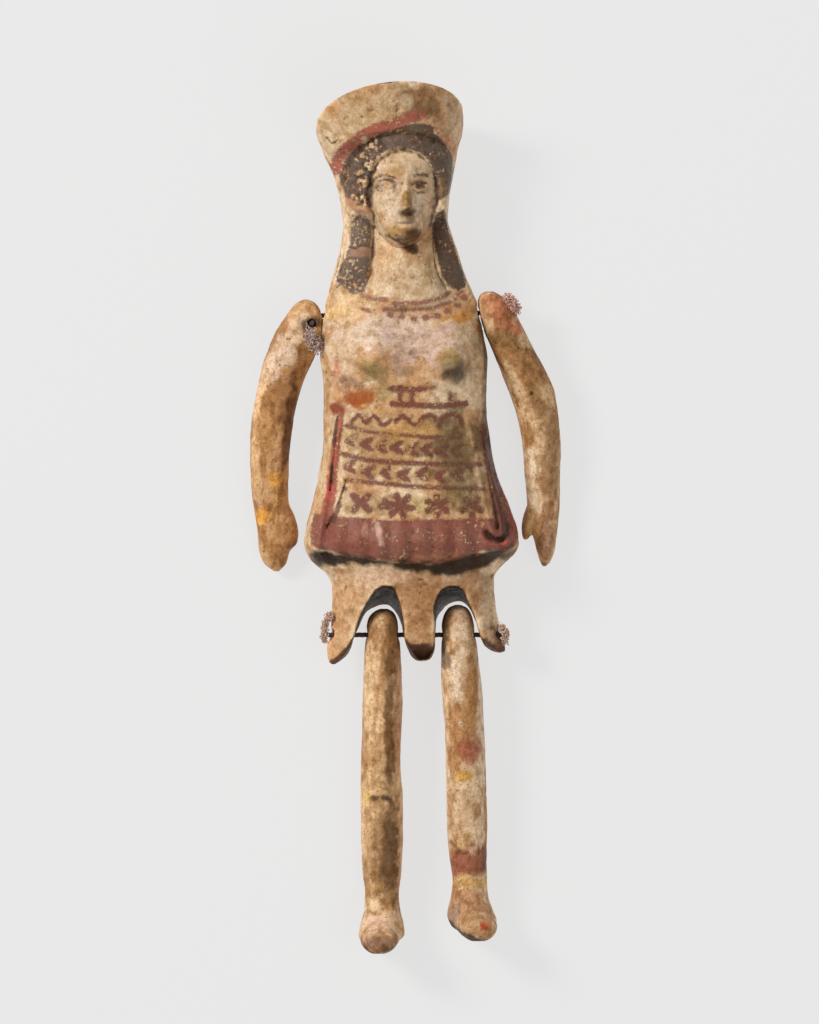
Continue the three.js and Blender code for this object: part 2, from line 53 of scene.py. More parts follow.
# The lines on which the cords run.
ARM_CORD_LEVEL, ARM_CORD_HEIGHT = 28.2, 4.7
LEG_CORD_LEVEL, LEG_CORD_HEIGHT = -16.1, 5.0
CORD_DIAMETER = 0.7
THREAD_PITCH = 2.2  # one full turn of the three strands
LEG_CORD_REACH = 0.7  # what the cord of the legs stands out at each side
BORE_DIAMETER = 1.7
ARM_BORE_DIAMETER = 1.3
TRUNK_VOXEL, LIMB_VOXEL = 0.36, 0.17  # how fine the rounded skins are
LIMB_GAP = 0.18  # narrower than in the solids, as the rounded meshes are a little slimmer
SPARE = np.array([0.014, 0, 0])  # share of its box by which a piece may stand out at each side


# Small mathematics


def spot(x, y):
    """A place on the doll, in millimetres, from a pixel of the photograph."""
    return (x - MIDDLE[0]) * PIXEL, (MIDDLE[1] - y) * PIXEL


def spots(points):
    return np.array([spot(x, y) for x, y in points])


def mix(a, b, t):
    return a + (b - a) * t


def step(start, end, at):
    t = np.clip((at - start) / (end - start), 0, 1)
    return t * t * (3 - 2 * t)


def bell(at, width):
    return np.exp(-((at / width) ** 2))


def root(value):
    return np.sqrt(np.maximum(0, value))


def over(a, b, soft):
    """The larger of two heights, blended where they are close to each other."""
    h = np.clip(0.5 + (a - b) / (2 * soft), 0, 1)
    return mix(b, a, h) + soft * h * (1 - h)


def profile(points):
    """A smooth curve through (level, value) points, which never overshoots them."""
    x, v = np.array(sorted(points), dtype=float).T
    slope = np.diff(v) / np.diff(x)
    a, b = slope[:-1], slope[1:]
    alike = a * b > 0
    tangent = np.concatenate([[slope[0]], np.where(alike, 2 * a * b / np.where(alike, a + b, 1), 0), [slope[-1]]])

    def at(level):
        level = np.clip(level, x[0], x[-1])
        i = np.clip(np.searchsorted(x, level, side="right") - 1, 0, len(x) - 2)
        width = x[i + 1] - x[i]
        t = (level - x[i]) / width
        t2, t3 = t * t, t * t * t
        return (
            (2 * t3 - 3 * t2 + 1) * v[i]
            + (t3 - 2 * t2 + t) * width * tangent[i]
            + (3 * t2 - 2 * t3) * v[i + 1]
            + (t3 - t2) * width * tangent[i + 1]
        )

    return at


def noise(points, size, seed):
    """Smooth noise from 0 to 1, with lumps about `size` millimetres across."""
    table = np.random.default_rng(seed).random((32, 32, 32))
    place = points / size + seed * 3.7
    cell = np.floor(place).astype(int)
    f = place - cell
    f = f * f * (3 - 2 * f)
    total = 0
    for corner in range(8):
        k = np.array([corner & 1, corner >> 1 & 1, corner >> 2 & 1])
        i = (cell + k) % 32
        weight = np.prod(np.where(k, f, 1 - f), axis=1)
        total = total + weight * table[i[:, 0], i[:, 1], i[:, 2]]
    return total


def clouds(points, size, seed, octaves=4):
    """Noise in several sizes, each half as large as the last, stretched to about 0 to 1."""
    total = 0
    for k in range(octaves):
        total = total + (noise(points, size / 2**k, seed + k) - 0.5) * 0.6**k
    return np.clip(0.5 + 0.95 * total, 0, 1)


def catmull(points, count):
    """Points of a smooth curve through the given ones, `count` to each stretch."""
    p = np.array(points, dtype=float)
    p = np.vstack([p[:1], p, p[-1:]])
    t = np.linspace(0, 1, count, endpoint=False)[:, None]
    parts = []
    for a, b, c, d in zip(p, p[1:], p[2:], p[3:]):
        line = 2 * b + (c - a) * t
        parts.append(0.5 * (line + (2 * a - 5 * b + 4 * c - d) * t**2 + (3 * b - a - 3 * c + d) * t**3))
    return np.vstack(parts + [p[-1:]])


# Meshes


def mesh_object(name, vertices, faces):
    mesh = bpy.data.meshes.new(name)
    mesh.from_pydata(vertices, [], faces)
    mesh.update()
    obj = bpy.data.objects.new(name, mesh)
    bpy.context.collection.objects.link(obj)
    return obj


def grid_skin(name, rows, first, last):
    """A closed skin from rings of points (rows by columns) and an end point at each end."""
    count, columns = rows.shape[:2]
    vertices = np.vstack([rows.reshape(-1, 3), [first], [last]])
    j, i = np.meshgrid(np.arange(count - 1), np.arange(columns), indexing="ij")
    n = (i + 1) % columns
    quads = np.stack([j * columns + i, (j + 1) * columns + i, (j + 1) * columns + n, j * columns + n], axis=-1)
    faces = quads.reshape(-1, 4).tolist()
    top, bottom = count * columns, count * columns + 1
    for k in range(columns):
        after = (k + 1) % columns
        faces.append([top, k, after])
        faces.append([bottom, (count - 1) * columns + after, (count - 1) * columns + k])
    return mesh_object(name, vertices.tolist(), faces)


def tube_rings(path, radius, sides):
    """Rings of points round a path. `radius` is a number, or one for each point of the path and side."""
    path = np.array(path, dtype=float)
    along = np.gradient(path, axis=0)
    along /= np.linalg.norm(along, axis=1)[:, None]
    across = np.cross(along[0], [0.31, 0.17, 0.93])
    angle = np.arange(sides) * 2 * math.pi / sides
    radius = np.broadcast_to(radius, (len(path), sides))
    rings = []
    for k, (centre, ahead) in enumerate(zip(path, along)):
        across = across - ahead * np.dot(across, ahead)
        across /= np.linalg.norm(across)
        up = np.cross(ahead, across)
        turn = np.cos(angle)[:, None] * across + np.sin(angle)[:, None] * up
        rings.append(centre + radius[k][:, None] * turn)
    return np.array(rings)


def tube(name, path, radius, sides):
    rings = tube_rings(path, radius, sides)[:, ::-1]
    return grid_skin(name, rings, np.array(path[0], dtype=float), np.array(path[-1], dtype=float))


def modified(obj, kind, **settings):
    """The object with one modifier of this kind applied to it."""
    modifier = obj.modifiers.new(kind, kind)
    for key, value in settings.items():
        setattr(modifier, key, value)
    graph = bpy.context.evaluated_depsgraph_get()
    mesh = bpy.data.meshes.new_from_object(obj.evaluated_get(graph))
    obj.modifiers.clear()
    old = obj.data
    obj.data = mesh
    bpy.data.meshes.remove(old)
    return obj


def combined(obj, other, operation):
    modified(obj, "BOOLEAN", operation=operation, solver="MANIFOLD", object=other)
    bpy.data.objects.remove(other)
    return obj


def coordinates(mesh):
    v = np.empty(len(mesh.vertices) * 3)
    mesh.vertices.foreach_get("co", v)
    return v.reshape(-1, 3)


def normals(mesh):
    n = np.empty(len(mesh.vertices) * 3)
    mesh.vertex_normals.foreach_get("vector", n)
    return n.reshape(-1, 3)


def set_coordinates(mesh, v):
    mesh.vertices.foreach_set("co", v.ravel())
    mesh.update()


def smoothed(mesh, values, rounds):
    """Values of the vertices, drawn towards the mean of their neighbours."""
    edges = np.empty(len(mesh.edges) * 2, dtype=int)
    mesh.edges.foreach_get("vertices", edges)
    a, b = edges.reshape(-1, 2).T
    count = len(mesh.vertices)
    degree = np.bincount(a, minlength=count) + np.bincount(b, minlength=count)
    result = values.copy()
    for _ in range(rounds):
        total = np.empty_like(result)
        for axis in range(result.shape[1]):
            column = result[:, axis]
            total[:, axis] = np.bincount(a, column[b], count) + np.bincount(b, column[a], count)
        result += 0.5 * (total / degree[:, None] - result)
    return result


def refined(obj, voxel, rounds):
    """One even, rounded skin over an object."""
    modified(obj, "REMESH", mode="VOXEL", voxel_size=voxel)
    set_coordinates(obj.data, smoothed(obj.data, coordinates(obj.data), rounds))
    return obj


def softened(obj, weight, rounds):
    """Rounds an object further where `weight` is above 0."""
    v = coordinates(obj.data)
    set_coordinates(obj.data, mix(v, smoothed(obj.data, v, rounds), weight[:, None]))
    return obj


def densified(obj, wanted):
    """The object with each face that `wanted` chooses cut into four."""
    bm = bmesh.new()
    bm.from_mesh(obj.data)
    edges = {e for f in bm.faces if wanted(f.calc_center_median(), f.normal) for e in f.edges}
    bmesh.ops.subdivide_edges(bm, edges=list(edges), cuts=1, use_grid_fill=True)
    bm.to_mesh(obj.data)
    bm.free()
    return obj


def hollows(mesh, rounds):
    """How far each vertex lies below its smoothed surroundings, in millimetres."""
    v = coordinates(mesh)
    return np.einsum("ij,ij->i", smoothed(mesh, v, rounds) - v, normals(mesh))


# The trunk: the same form as in the solids, in a much finer skin

TRUNK_LEFT = profile([
    (55.4, -12.1), (53.7, -12.45), (50.4, -11.35), (47.1, -9.75), (43.8, -8.9), (40.5, -8.45),
    (37.2, -8.9), (33.8, -9.7), (30.5, -10.7), (27, -11.35), (22.8, -11.6), (18, -11.2),
    (11, -11.2), (6.3, -11.8), (1.9, -12.7), (-1.4, -13.55), (-3.6, -13.85), (-5.2, -13.3),
    (-6.9, -11.7), (-8.1, -10.5), (-9.6, -10.05), (-13, -10), (-15, -10.2), (-17, -10.65),
    (-19, -10.7), (-20.2, -10.3),
])
TRUNK_RIGHT = profile([
    (56, 7.95), (53.7, 7.8), (50.4, 6.95), (47.1, 6.4), (43.8, 5.85), (41, 5.65),
    (38.3, 6.5), (35, 7.6), (31.65, 8.9), (29.45, 9.8), (26, 10.5), (21.7, 11.1),
    (14, 11.1), (10.7, 11.5), (6.3, 12.45), (1.9, 14.1), (-1.4, 15.2), (-3.6, 15.5),
    (-5, 14.8), (-6.9, 12.9), (-8.2, 12.1), (-12.4, 12.4), (-15, 12.9), (-16.2, 13.15),
    (-17.5, 13.65), (-20.2, 13.5),
])
TRUNK_FRONT = profile([
    (55, 16.6), (51, 14.7), (49.4, 13.9), (48.2, 11.4), (44, 8.6), (39, 7.6), (35, 7.6), (31, 8.2), (28, 9.7),
    (22, 10.9), (16, 10.8), (11, 10.4), (5, 11), (0, 12), (-3, 12.4), (-4.6, 11.7), (-6.5, 10.4),
    (-8, 9.9), (-11, 9.6), (-14, 9), (-18, 7.6), (-20.2, 6.2),
])
TRUNK_BACK = profile([
    (55, 1.6), (50, 0.6), (46, -0.3), (30, -0.5), (0, -0.6), (-8, -0.5), (-11, 0.2), (-14, 1),
    (-17, 2), (-20.2, 3.6),
])
WIDEST_HEIGHT = profile([
    (55, 8.6), (46, 6.2), (38, 4.6), (28.2, ARM_CORD_HEIGHT), (0, 4.8), (-12, 4.6), (-20.2, 4.9),
])
ROW_RISE = profile([(55, 5.2), (50, 4.2), (46.5, 2.6), (42, 0.8), (38, 0)])
ROW_LEAN = profile([(55, 1.1), (47, 0.3), (42, 0)])
TRUNK_TOP, TRUNK_BOTTOM = 54.95, -20.2
ROUNDED_OFF = 0.12  # what rounding the mesh takes off each side
RIM_SPARE = 0.45  # what the skin stands past the rim before it is trimmed to it
RIM_DROP = 0.28  # how far below the top row the rim is trimmed
DETAILED = ((27, 53), (-8, 16.4))  # levels of the head and the apron, where the front has finer faces
MIDDLE_TAB_BOX = ((-2.0, -24.0, -3.0), (6.5, -19.65, 20.0))  # what is cut off below the middle tab
TAB_BEVEL = 1.9  # the middle tab's end slants down by this much
PLEATS = 10

FACE_MIDDLE = -0.35
FACE_HALF = profile([
    (53, 3.4), (51, 4.4), (48.5, 4.9), (45.5, 4.95), (43, 4.6), (41, 4), (39.3, 3.2), (38.2, 2.3), (37.2, 1.3),
])
FACE_TOP = profile([
    (53, 11.4), (50.5, 12.9), (49, 13.2), (47.6, 13.1), (45.6, 12.9), (43, 13.2), (41, 13.2), (38.9, 13.4),
    (37.9, 12.4), (36.9, 9),
])
FACE_EDGE = 8
ROLL = {"y": 44.6, "half_width": 4.9, "up": 5.9, "outer": 1.45}
LEFT_LOCK = profile([(42, -6.3), (36, -6.6), (31, -7.3)])
RIGHT_LOCK = profile([(42, 5.1), (36, 5.8), (31, 7.2)])
BREASTS = ((-4.7, 22.3), (6.3, 22))
LEFT_FOLD = profile([(13.5, -9.2), (3, -11.1), (-4, -12.2)])
RIGHT_INNER_FOLD = profile([(13.5, 8.7), (3, 10.8), (-3, 12.3)])
RIGHT_OUTER_FOLD = profile([(10, 10.4), (3, 12.3), (-3, 14)])
HEM_LINE = profile([(-14, -4.2), (-9.8, -4.6), (-5.2, -5.64), (-0.8, -6.05), (4.8, -6.3), (8.9, -5.2), (13, -4.4)])


def face_height(x, y):
    q = np.abs(x - FACE_MIDDLE) / FACE_HALF(y)
    return FACE_EDGE + (FACE_TOP(y) - FACE_EDGE) * root(1 - q**2.4) - 5 * np.maximum(0, q - 1)


def nose_height(x, y):
    width = mix(0.5, 0.85, step(47, 43, y))
    return 2 * bell(x - FACE_MIDDLE - 0.45, width) * step(48.2, 42.9, y) * step(41.7, 42.5, y)


def hair_ring(x, y):
    """From 0 to 1 on the roll of curls that frames the face from ear to ear."""
    q = np.hypot((x - FACE_MIDDLE) / ROLL["half_width"], (y - ROLL["y"]) / ROLL["up"])
    return step(0.95, 1.1, q) * step(ROLL["outer"] + 0.3, ROLL["outer"] - 0.1, q)


def hair_height(x, y):
    """The dome of hair round the face, with the roll on it."""
    dx, dy = x - FACE_MIDDLE, y - ROLL["y"]
    dome = 5 + mix(6.4, 8.1, step(1, 6, dy)) * root(1 - (dx / 8.7) ** 2 - (dy / 20) ** 2)
    return (dome + 0.75 * hair_ring(x, y)) * step(-9, -2, dy)


def lock_height(x, y, line):
    ends = step(28, 36, y) * step(44, 41, y)
    return 7.6 - 1.5 * (1 - ends) + 1.4 * ends * root(1 - ((x - line(y)) / 1.9) ** 2)


def neck_height(x, y):
    half = mix(4.35, 6.4, step(35, 29.5, y))
    q = ((x + 0.1) / half) ** 2
    return 6.4 + 3.9 * root(1 - q) - 4 * np.maximum(0, q - 1) - 8 * step(40, 46, y)


def fold_height(x, y, line, width, top):
    return bell(x - line(y), width) * step(top, top - 3, y) * step(-5.4, -4.2, y)


def apron_carving(x, y, side):
    pleat = 0.5 - 0.5 * np.cos(side * math.pi * PLEATS)
    pleated = step(1.5, -2.5, y) * step(-13, -10.5, x) * step(14, 12, x)
    edge = HEM_LINE(x) - 0.35 * (pleat - 0.5)
    panel = step(edge - 0.45, edge + 0.35, y) * step(13, 11, y)
    folds = (
        0.9 * fold_height(x, y, LEFT_FOLD, 0.65, 15)
        + 0.8 * fold_height(x, y, RIGHT_INNER_FOLD, 0.6, 15)
        + 0.9 * fold_height(x, y, RIGHT_OUTER_FOLD, 0.65, 11)
    )
    return panel * (0.5 + 0.6 * step(2, -5, y) + 0.34 * pleat * pleated) + folds


def trunk_height(side, level, x, y):
    rim = root(1 - np.abs(side) ** 2.6)
    widest = WIDEST_HEIGHT(level)
    bare = widest + (TRUNK_FRONT(level) - widest) * rim
    z = over(bare, neck_height(x, y), 0.7)
    z = over(z, lock_height(x, y, LEFT_LOCK), 0.7)
    z = over(z, lock_height(x, y, RIGHT_LOCK), 0.7)
    z = over(z, hair_height(x, y), 0.4)
    z = over(z, face_height(x, y) + nose_height(x, y), 0.25)
    head = step(28, 29.5, y) * step(49.6, 48.8, level)
    z = mix(bare, z, step(0, 0.35, rim) * head)
    for bx, by in BREASTS:
        dy = y - by
        z = z + 1.75 * bell(x - bx, 3.1) * bell(dy, np.where(dy > 0, 4.2, 2.5)) * step(0, 0.5, rim)
    return z + apron_carving(x, y, side) * step(0, 0.4, rim)


def trunk_ring(level, side, front):
    """Points of one or more rings: `side` runs from -1 at the left edge to 1 at the right."""
    lean = ROW_LEAN(level)
    x = mix(TRUNK_LEFT(level - lean) - ROUNDED_OFF, TRUNK_RIGHT(level + lean) + ROUNDED_OFF, (side + 1) / 2)
    y = level + lean * side + ROW_RISE(level) * root(1 - side**2) * np.where(front, 1, -0.2)
    widest = WIDEST_HEIGHT(level)
    back = widest + (TRUNK_BACK(level) - widest) * np.maximum(0, 1 - np.abs(side) ** 5) ** 0.45
    z = np.where(front, trunk_height(side, level, x, y), np.maximum(0, back))
    return np.stack([x, y, z], axis=-1)


def across_row(level, x):
    """How far across a slanting row a place lies, from -1 to 1, and how much the row leans."""
    lean = ROW_LEAN(level)
    left, right = TRUNK_LEFT(level - lean), TRUNK_RIGHT(level + lean)
    return np.clip(2 * (x - left) / (right - left) - 1, -1, 1), lean


def front_row(x, y):
    """The slanting row under which a place of the trunk's front lies, and how far across it."""
    level = y
    for _ in range(24):
        side, lean = across_row(level, x)
        level = mix(level, y - lean * side - ROW_RISE(level) * root(1 - side**2), 0.5)
    return level, side


def rim_line(x):
    """How far up the front of the headdress reaches at each place across it."""
    side, lean = across_row(TRUNK_TOP, x)
    return TRUNK_TOP - RIM_DROP + lean * side + ROW_RISE(TRUNK_TOP) * root(1 - side**2)


def trunk_skin():
    front_columns, back_columns, rows = 220, 50, 360
    share = np.concatenate([
        np.linspace(0, 1, front_columns, endpoint=False), 1 - np.linspace(0, 1, back_columns, endpoint=False)
    ])
    front = np.arange(front_columns + back_columns) < front_columns
    side = mix(-np.cos(math.pi * share), 2 * share - 1, np.where(front, 0.5, 0.7))
    level, sides = np.meshgrid(np.linspace(TRUNK_TOP + RIM_SPARE, TRUNK_BOTTOM, rows), side, indexing="ij")
    rings = trunk_ring(level, sides, front[None, :])
    dish = np.array([-2.2, TRUNK_TOP - 0.6, 9])
    base = np.array([1.6, TRUNK_BOTTOM - 0.15, 4.8])
    lid = []
    for inward, sunk in ((0.3, 1.2), (0.6, 1.1), (0.8, 0.9), (0.88, 0.5), (0.93, 0.15), (0.97, 0.02)):
        lid.append(mix(dish, rings[0], inward) - [0, sunk, 0])
    foot = [mix(base, rings[-1], 0.6), mix(base, rings[-1], 0.95)]
    return grid_skin("trunk_skin", np.concatenate([lid, rings, foot[::-1]]), dish - [0, 1.2, 0], base)


# The limbs

LEFT_LEG = {
    "left": profile([
        (-12.4, -3.2), (-12.8, -4.1), (-13.2, -4.65), (-13.9, -5.1), (-15.4, -5.4), (-20, -5.7), (-31, -6.05),
        (-38, -6.15), (-44, -6.15), (-49, -5.95), (-51.5, -5.6), (-54, -5.7), (-56, -6.25), (-57.6, -6.5),
        (-58.8, -5.4),
    ]),
    "right": profile([
        (-12.4, -2.8), (-12.8, -1.9), (-13.2, -1.5), (-13.9, -1.2), (-15.4, -0.95), (-20, -0.6), (-26, -0.45),
        (-34, -0.7), (-38.8, -0.35), (-44, -0.35), (-49, -0.6), (-52, -0.9), (-54.2, -0.7), (-56, -0.2),
        (-57.3, -0.1), (-58.8, -1.6),
    ]),
    "back": profile([
        (-12.4, 4.5), (-13.2, 3), (-14.8, 2.3), (-20, 1.6), (-30, 0.7), (-38, 0.3), (-46, 0.3), (-52, 0.7),
        (-55, 0.15), (-57.6, 0.5), (-58.8, 1.7),
    ]),
    "front": profile([
        (-12.4, 5.3), (-13.2, 6.8), (-14.8, 7.5), (-20, 7.4), (-30, 6.9), (-40, 6.5), (-46, 6.2), (-52, 5.6),
        (-54.5, 6.2), (-57, 6.8), (-58.8, 5.2),
    ]),
    "ends": (-12.4, -58.8),
    "foot": ((-2.6, -56.9, 2.5), (-4.1, -58.35, 9.4)),
}
RIGHT_LEG = {
    "left": profile([
        (-11.9, 6.9), (-12.4, 5.9), (-13.5, 5.2), (-15, 4.95), (-20, 4.9), (-26, 5.15), (-33, 5.55), (-42, 5.7),
        (-46.5, 6), (-50, 6.5), (-52, 6.3), (-54.7, 5.75), (-56.2, 6.3), (-57, 7.4),
    ]),
    "right": profile([
        (-11.9, 7.5), (-12.4, 8.5), (-13.5, 9.15), (-15, 9.5), (-20, 10.1), (-26, 10.7), (-33, 10.95), (-42, 11.3),
        (-46.5, 11.2), (-50, 11.25), (-52, 11.45), (-54, 12.1), (-55.5, 12.6), (-57, 11.6),
    ]),
    "back": profile([
        (-11.9, 4.5), (-12.7, 3), (-14.5, 2.3), (-20, 1.6), (-30, 0.7), (-38, 0.3), (-46, 0.3), (-51, 0.7),
        (-54, 0.15), (-56, 0.5), (-57, 1.6),
    ]),
    "front": profile([
        (-11.9, 5.3), (-12.7, 6.8), (-14.5, 7.5), (-20, 7.4), (-30, 6.9), (-40, 6.5), (-46, 6.2), (-51, 5.6),
        (-53.5, 6.3), (-56, 6.8), (-57, 5.2),
    ]),
    "ends": (-11.9, -57),
    "foot": ((8.2, -55, 2.5), (10.8, -56.65, 9.2)),
}
LEFT_ARM = {
    "left": profile([
        (30.1, -14), (29.6, -14.9), (28.4, -15.9), (27.2, -16.7), (25, -18.1), (20.7, -19.6), (16.2, -20.55),
        (12.9, -21.1), (8, -21.25), (3, -21), (-1.4, -20.3), (-4.7, -19.9), (-6.3, -19.3), (-7.4, -17.9),
    ]),
    "right": profile([
        (30.1, -13.1), (29.6, -12.2), (28.4, -11.45), (27.2, -11.15), (25.8, -11.15), (22.9, -12.1), (18.5, -13.95),
        (13, -15.3), (8, -15.85), (2.5, -15.95), (0, -15), (-2, -14.6), (-3.4, -14.8), (-4.6, -15.8), (-6.3, -16.3),
        (-7.4, -17.3),
    ]),
    "back": profile([
        (30.1, 4.2), (29.4, 2.9), (27, 2.1), (20, 1.1), (10, 0.5), (0, 0.1), (-5, 0.05), (-7.4, 0.9),
    ]),
    "front": profile([
        (30.1, 5.4), (29.4, 6.7), (27, 7.3), (20, 6.5), (10, 5.4), (2, 4.3), (-2, 4.2), (-5, 3.5), (-7.4, 2),
    ]),
    "ends": (30.1, -7.4),
    "thumb": ((-16.2, 0.8, 2.3), (-15.1, -3.7, 2.3), 0.85),
    "outward": -1,
}
RIGHT_ARM = {
    "left": profile([
        (31.2, 10.9), (30.8, 10.1), (29.6, 9.75), (28.1, 9.95), (25.7, 10.7), (22.4, 12.1), (18.3, 13.7),
        (14.2, 15.1), (10.2, 15.9), (5.5, 16.3), (0.9, 16.7), (-1.8, 17.15), (-3, 17.5), (-5.6, 18.2), (-6.7, 18.7),
    ]),
    "right": profile([
        (31.2, 11.9), (30.8, 12.7), (29.6, 14.1), (27.6, 15.3), (25.5, 16.4), (23.3, 17.5), (20.2, 19.2),
        (17.2, 20.4), (13.7, 20.9), (9.6, 21.25), (2.8, 21.1), (-4, 20.5), (-6, 19.8), (-6.7, 19.2),
    ]),
    "back": profile([
        (31.2, 4.2), (30.4, 2.9), (28, 2.1), (20, 1.1), (10, 0.5), (0, 0.1), (-4.5, 0.05), (-6.7, 0.9),
    ]),
    "front": profile([
        (31.2, 5.4), (30.4, 6.7), (28, 7.3), (20, 6.5), (10, 5.4), (2, 4.3), (-2, 4), (-5, 3.3), (-6.7, 2),
    ]),
    "ends": (31.2, -6.7),
    "thumb": ((17.6, 3, 2.6), (16.35, -3.1, 2.6), 1.0),
    "outward": 1,
}
FOOT_HALF_WIDTH = profile([(0, 0.6), (0.12, 1.9), (0.35, 2.4), (0.7, 2.7), (0.9, 2.1), (1, 0.6)])
FOOT_UP = profile([(0, 0.6), (0.12, 1.7), (0.35, 2.6), (0.7, 1.9), (0.9, 1.3), (1, 0.4)])
FOOT_DOWN = profile([(0, 0.5), (0.12, 1.6), (0.35, 2.1), (0.7, 2.2), (0.9, 1.8), (1, 0.4)])


def limb_skin(limb, rows=160, columns=96):
    start, end = limb["ends"]
    share = 0.5 - 0.5 * np.cos(math.pi * np.linspace(0.01, 0.99, rows))
    y = mix(start, end, share)[:, None]
    angle = (2 * math.pi * np.arange(columns) / columns)[None, :]
    left, right, back, front = (limb[key](y) for key in ("left", "right", "back", "front"))
    x = (left + right) / 2 - (right - left) / 2 * np.cos(angle)
    z = (back + front) / 2 + (front - back) / 2 * np.sin(angle)
    rings = np.stack([x, np.broadcast_to(y, x.shape), z], axis=-1)
    return grid_skin("limb_skin", rings, rings[0].mean(axis=0), rings[-1].mean(axis=0))


def foot_skin(heel, toe, rows=40, columns=48):
    heel, toe = np.array(heel), np.array(toe)
    length = np.linalg.norm(toe - heel)
    along = (toe - heel) / length
    across = np.cross([0, 1, 0], along)
    across /= np.linalg.norm(across)
    up = np.cross(along, across)
    share = np.linspace(0.02, 0.98, rows)[:, None, None]
    angle = (2 * math.pi * np.arange(columns) / columns)[None, :, None]
    rise = np.sin(angle) * np.where(np.sin(angle) > 0, FOOT_UP(share), FOOT_DOWN(share))
    rings = (
        heel + along * length * (share * 1.25 - 0.2) - across * np.cos(angle) * FOOT_HALF_WIDTH(share) + up * rise
    )
    return grid_skin("foot_skin", rings, rings[0].mean(axis=0), rings[-1].mean(axis=0))


def thumb_skin(start, end, half_width, rows=30, columns=32):
    share = np.linspace(0.01, 0.99, rows)[:, None]
    angle = (2 * math.pi * np.arange(columns) / columns)[None, :]
    centre = mix(np.array(start), np.array(end), share[..., None])
    width = half_width * np.sqrt(np.sin(math.pi * share))
    offset = np.stack([-width * np.cos(angle), 0 * width * angle, 1.2 * width * np.sin(angle)], axis=-1)
    rings = centre + offset
    return grid_skin("thumb_skin", rings, rings[0].mean(axis=0), rings[-1].mean(axis=0))


# Slots, holes and the paths of the cords

SLOT_FRONT, SLOT_BACK = 9.8, 0.6  # heights at which a slot's two outlines are given
TAB_DROP = 1.75  # how much lower the tabs end behind than in front
LEFT_SLOT = {
    "tabs": (
        [(-13, -23), (-10.8, -20.1), (-9, -18.7), (-7.8, -17.3)],
        [(1.9, -23), (1.5, -18.6), (0.95, -17.9), (0.4, -16.9)],
    ),
    "front": [
        (354, 636), (358, 622), (363, 610), (369, 599.5), (376.4, 589), (385, 585.6), (393.3, 587.4), (397.6, 597),
        (401, 608), (403.8, 624.5), (404.8, 638),
    ],
    "back": [
        (354, 639), (358, 630.6), (360.5, 622), (365.5, 613), (373, 608), (382.4, 605.2), (390, 606.6), (395.5, 612),
        (399.6, 618.5), (402.4, 626.5), (404.8, 639),
    ],
}
RIGHT_SLOT = {
    "tabs": (
        [(2.9, -23), (3.25, -18.6), (3.75, -17.9), (4.05, -16.9)],
        [(16, -23), (14.4, -18), (12.6, -17.5), (11.1, -16.6)],
    ),
    "front": [
        (435, 638), (435, 621), (433.6, 610), (435.6, 600.3), (440.6, 590.4), (449, 586), (457, 586), (463.4, 590),
        (468, 602), (474, 615), (480.5, 636),
    ],
    "back": [
        (435, 639), (436, 622), (440, 613), (445.5, 606), (451, 602.6), (456, 601.4), (463, 602), (467.8, 606.5),
        (473.4, 615.5), (478, 627), (480.5, 638),
    ],
}


def slot_outline(slot, side):
    """The slot of the skirt round the top of a leg, at its front or its back."""
    first, last = slot["tabs"]
    drop = 0.0 if side == "front" else TAB_DROP
    lowered = [[(x, y - drop) for x, y in tab] for tab in (first, reversed(last))]
    return catmull([*lowered[0], *spots(slot[side]), *lowered[1]], 10)


def slot_cutter(slot):
    """The arch of a slot stands higher in front than behind."""
    back, front = slot_outline(slot, "back"), slot_outline(slot, "front")
    count = len(front)
    layers = []
    for z in (-6.0, 24.0):
        outline = back + (front - back) * (z - SLOT_BACK) / (SLOT_FRONT - SLOT_BACK)
        layers.append(np.column_stack([outline, np.full(count, z)]))
    faces = [list(range(count)), list(range(2 * count - 1, count - 1, -1))]
    for k in range(count):
        after = (k + 1) % count
        faces.append([k, k + count, after + count, after])
    return mesh_object("slot_cutter", np.vstack(layers).tolist(), faces)


CHIP = [(483, 313.5), (474, 313), (467, 312.5), (464, 309.5), (468, 307.5), (475, 308.5), (483, 308)]


def arm_cord_path():
    left_mouth = np.array([-12.9, 26.8, float(LEFT_ARM["front"](27.0))])
    right_mouth = np.array([float(RIGHT_ARM["right"](29.3)) + LIMB_GAP, 29.3, 4.9])
    points = [
        left_mouth - [0, 0, 0.3],
        left_mouth - [0, 0, 0.5],
        (-12.7, 27.2, 5.8),
        (-11.6, ARM_CORD_LEVEL - 0.35, ARM_CORD_HEIGHT),
        (-9, ARM_CORD_LEVEL - 0.3, ARM_CORD_HEIGHT),
        (9.2, ARM_CORD_LEVEL, ARM_CORD_HEIGHT),
        (12.2, 28.6, 4.8),
        right_mouth,
        right_mouth + [0.6, 0.36, 0],
    ]
    return catmull(points, 24)


def leg_cord_ends():
    left = float(TRUNK_LEFT(LEG_CORD_LEVEL)) - LEG_CORD_REACH
    right = float(TRUNK_RIGHT(LEG_CORD_LEVEL)) + LEG_CORD_REACH
    return np.array([left, LEG_CORD_LEVEL, LEG_CORD_HEIGHT]), np.array([right, LEG_CORD_LEVEL, LEG_CORD_HEIGHT])


def bore(path, diameter=BORE_DIAMETER):
    return tube("bore", path, diameter / 2, 24)


def leg_bore():
    start, end = leg_cord_ends()
    return bore([start - [2, 0, 0], (start + end) / 2, end + [2, 0, 0]])


def shoulder_bore():
    ends = [(x, ARM_CORD_LEVEL, ARM_CORD_HEIGHT) for x in (-12.4, -1, 11.4)]
    return bore(ends)


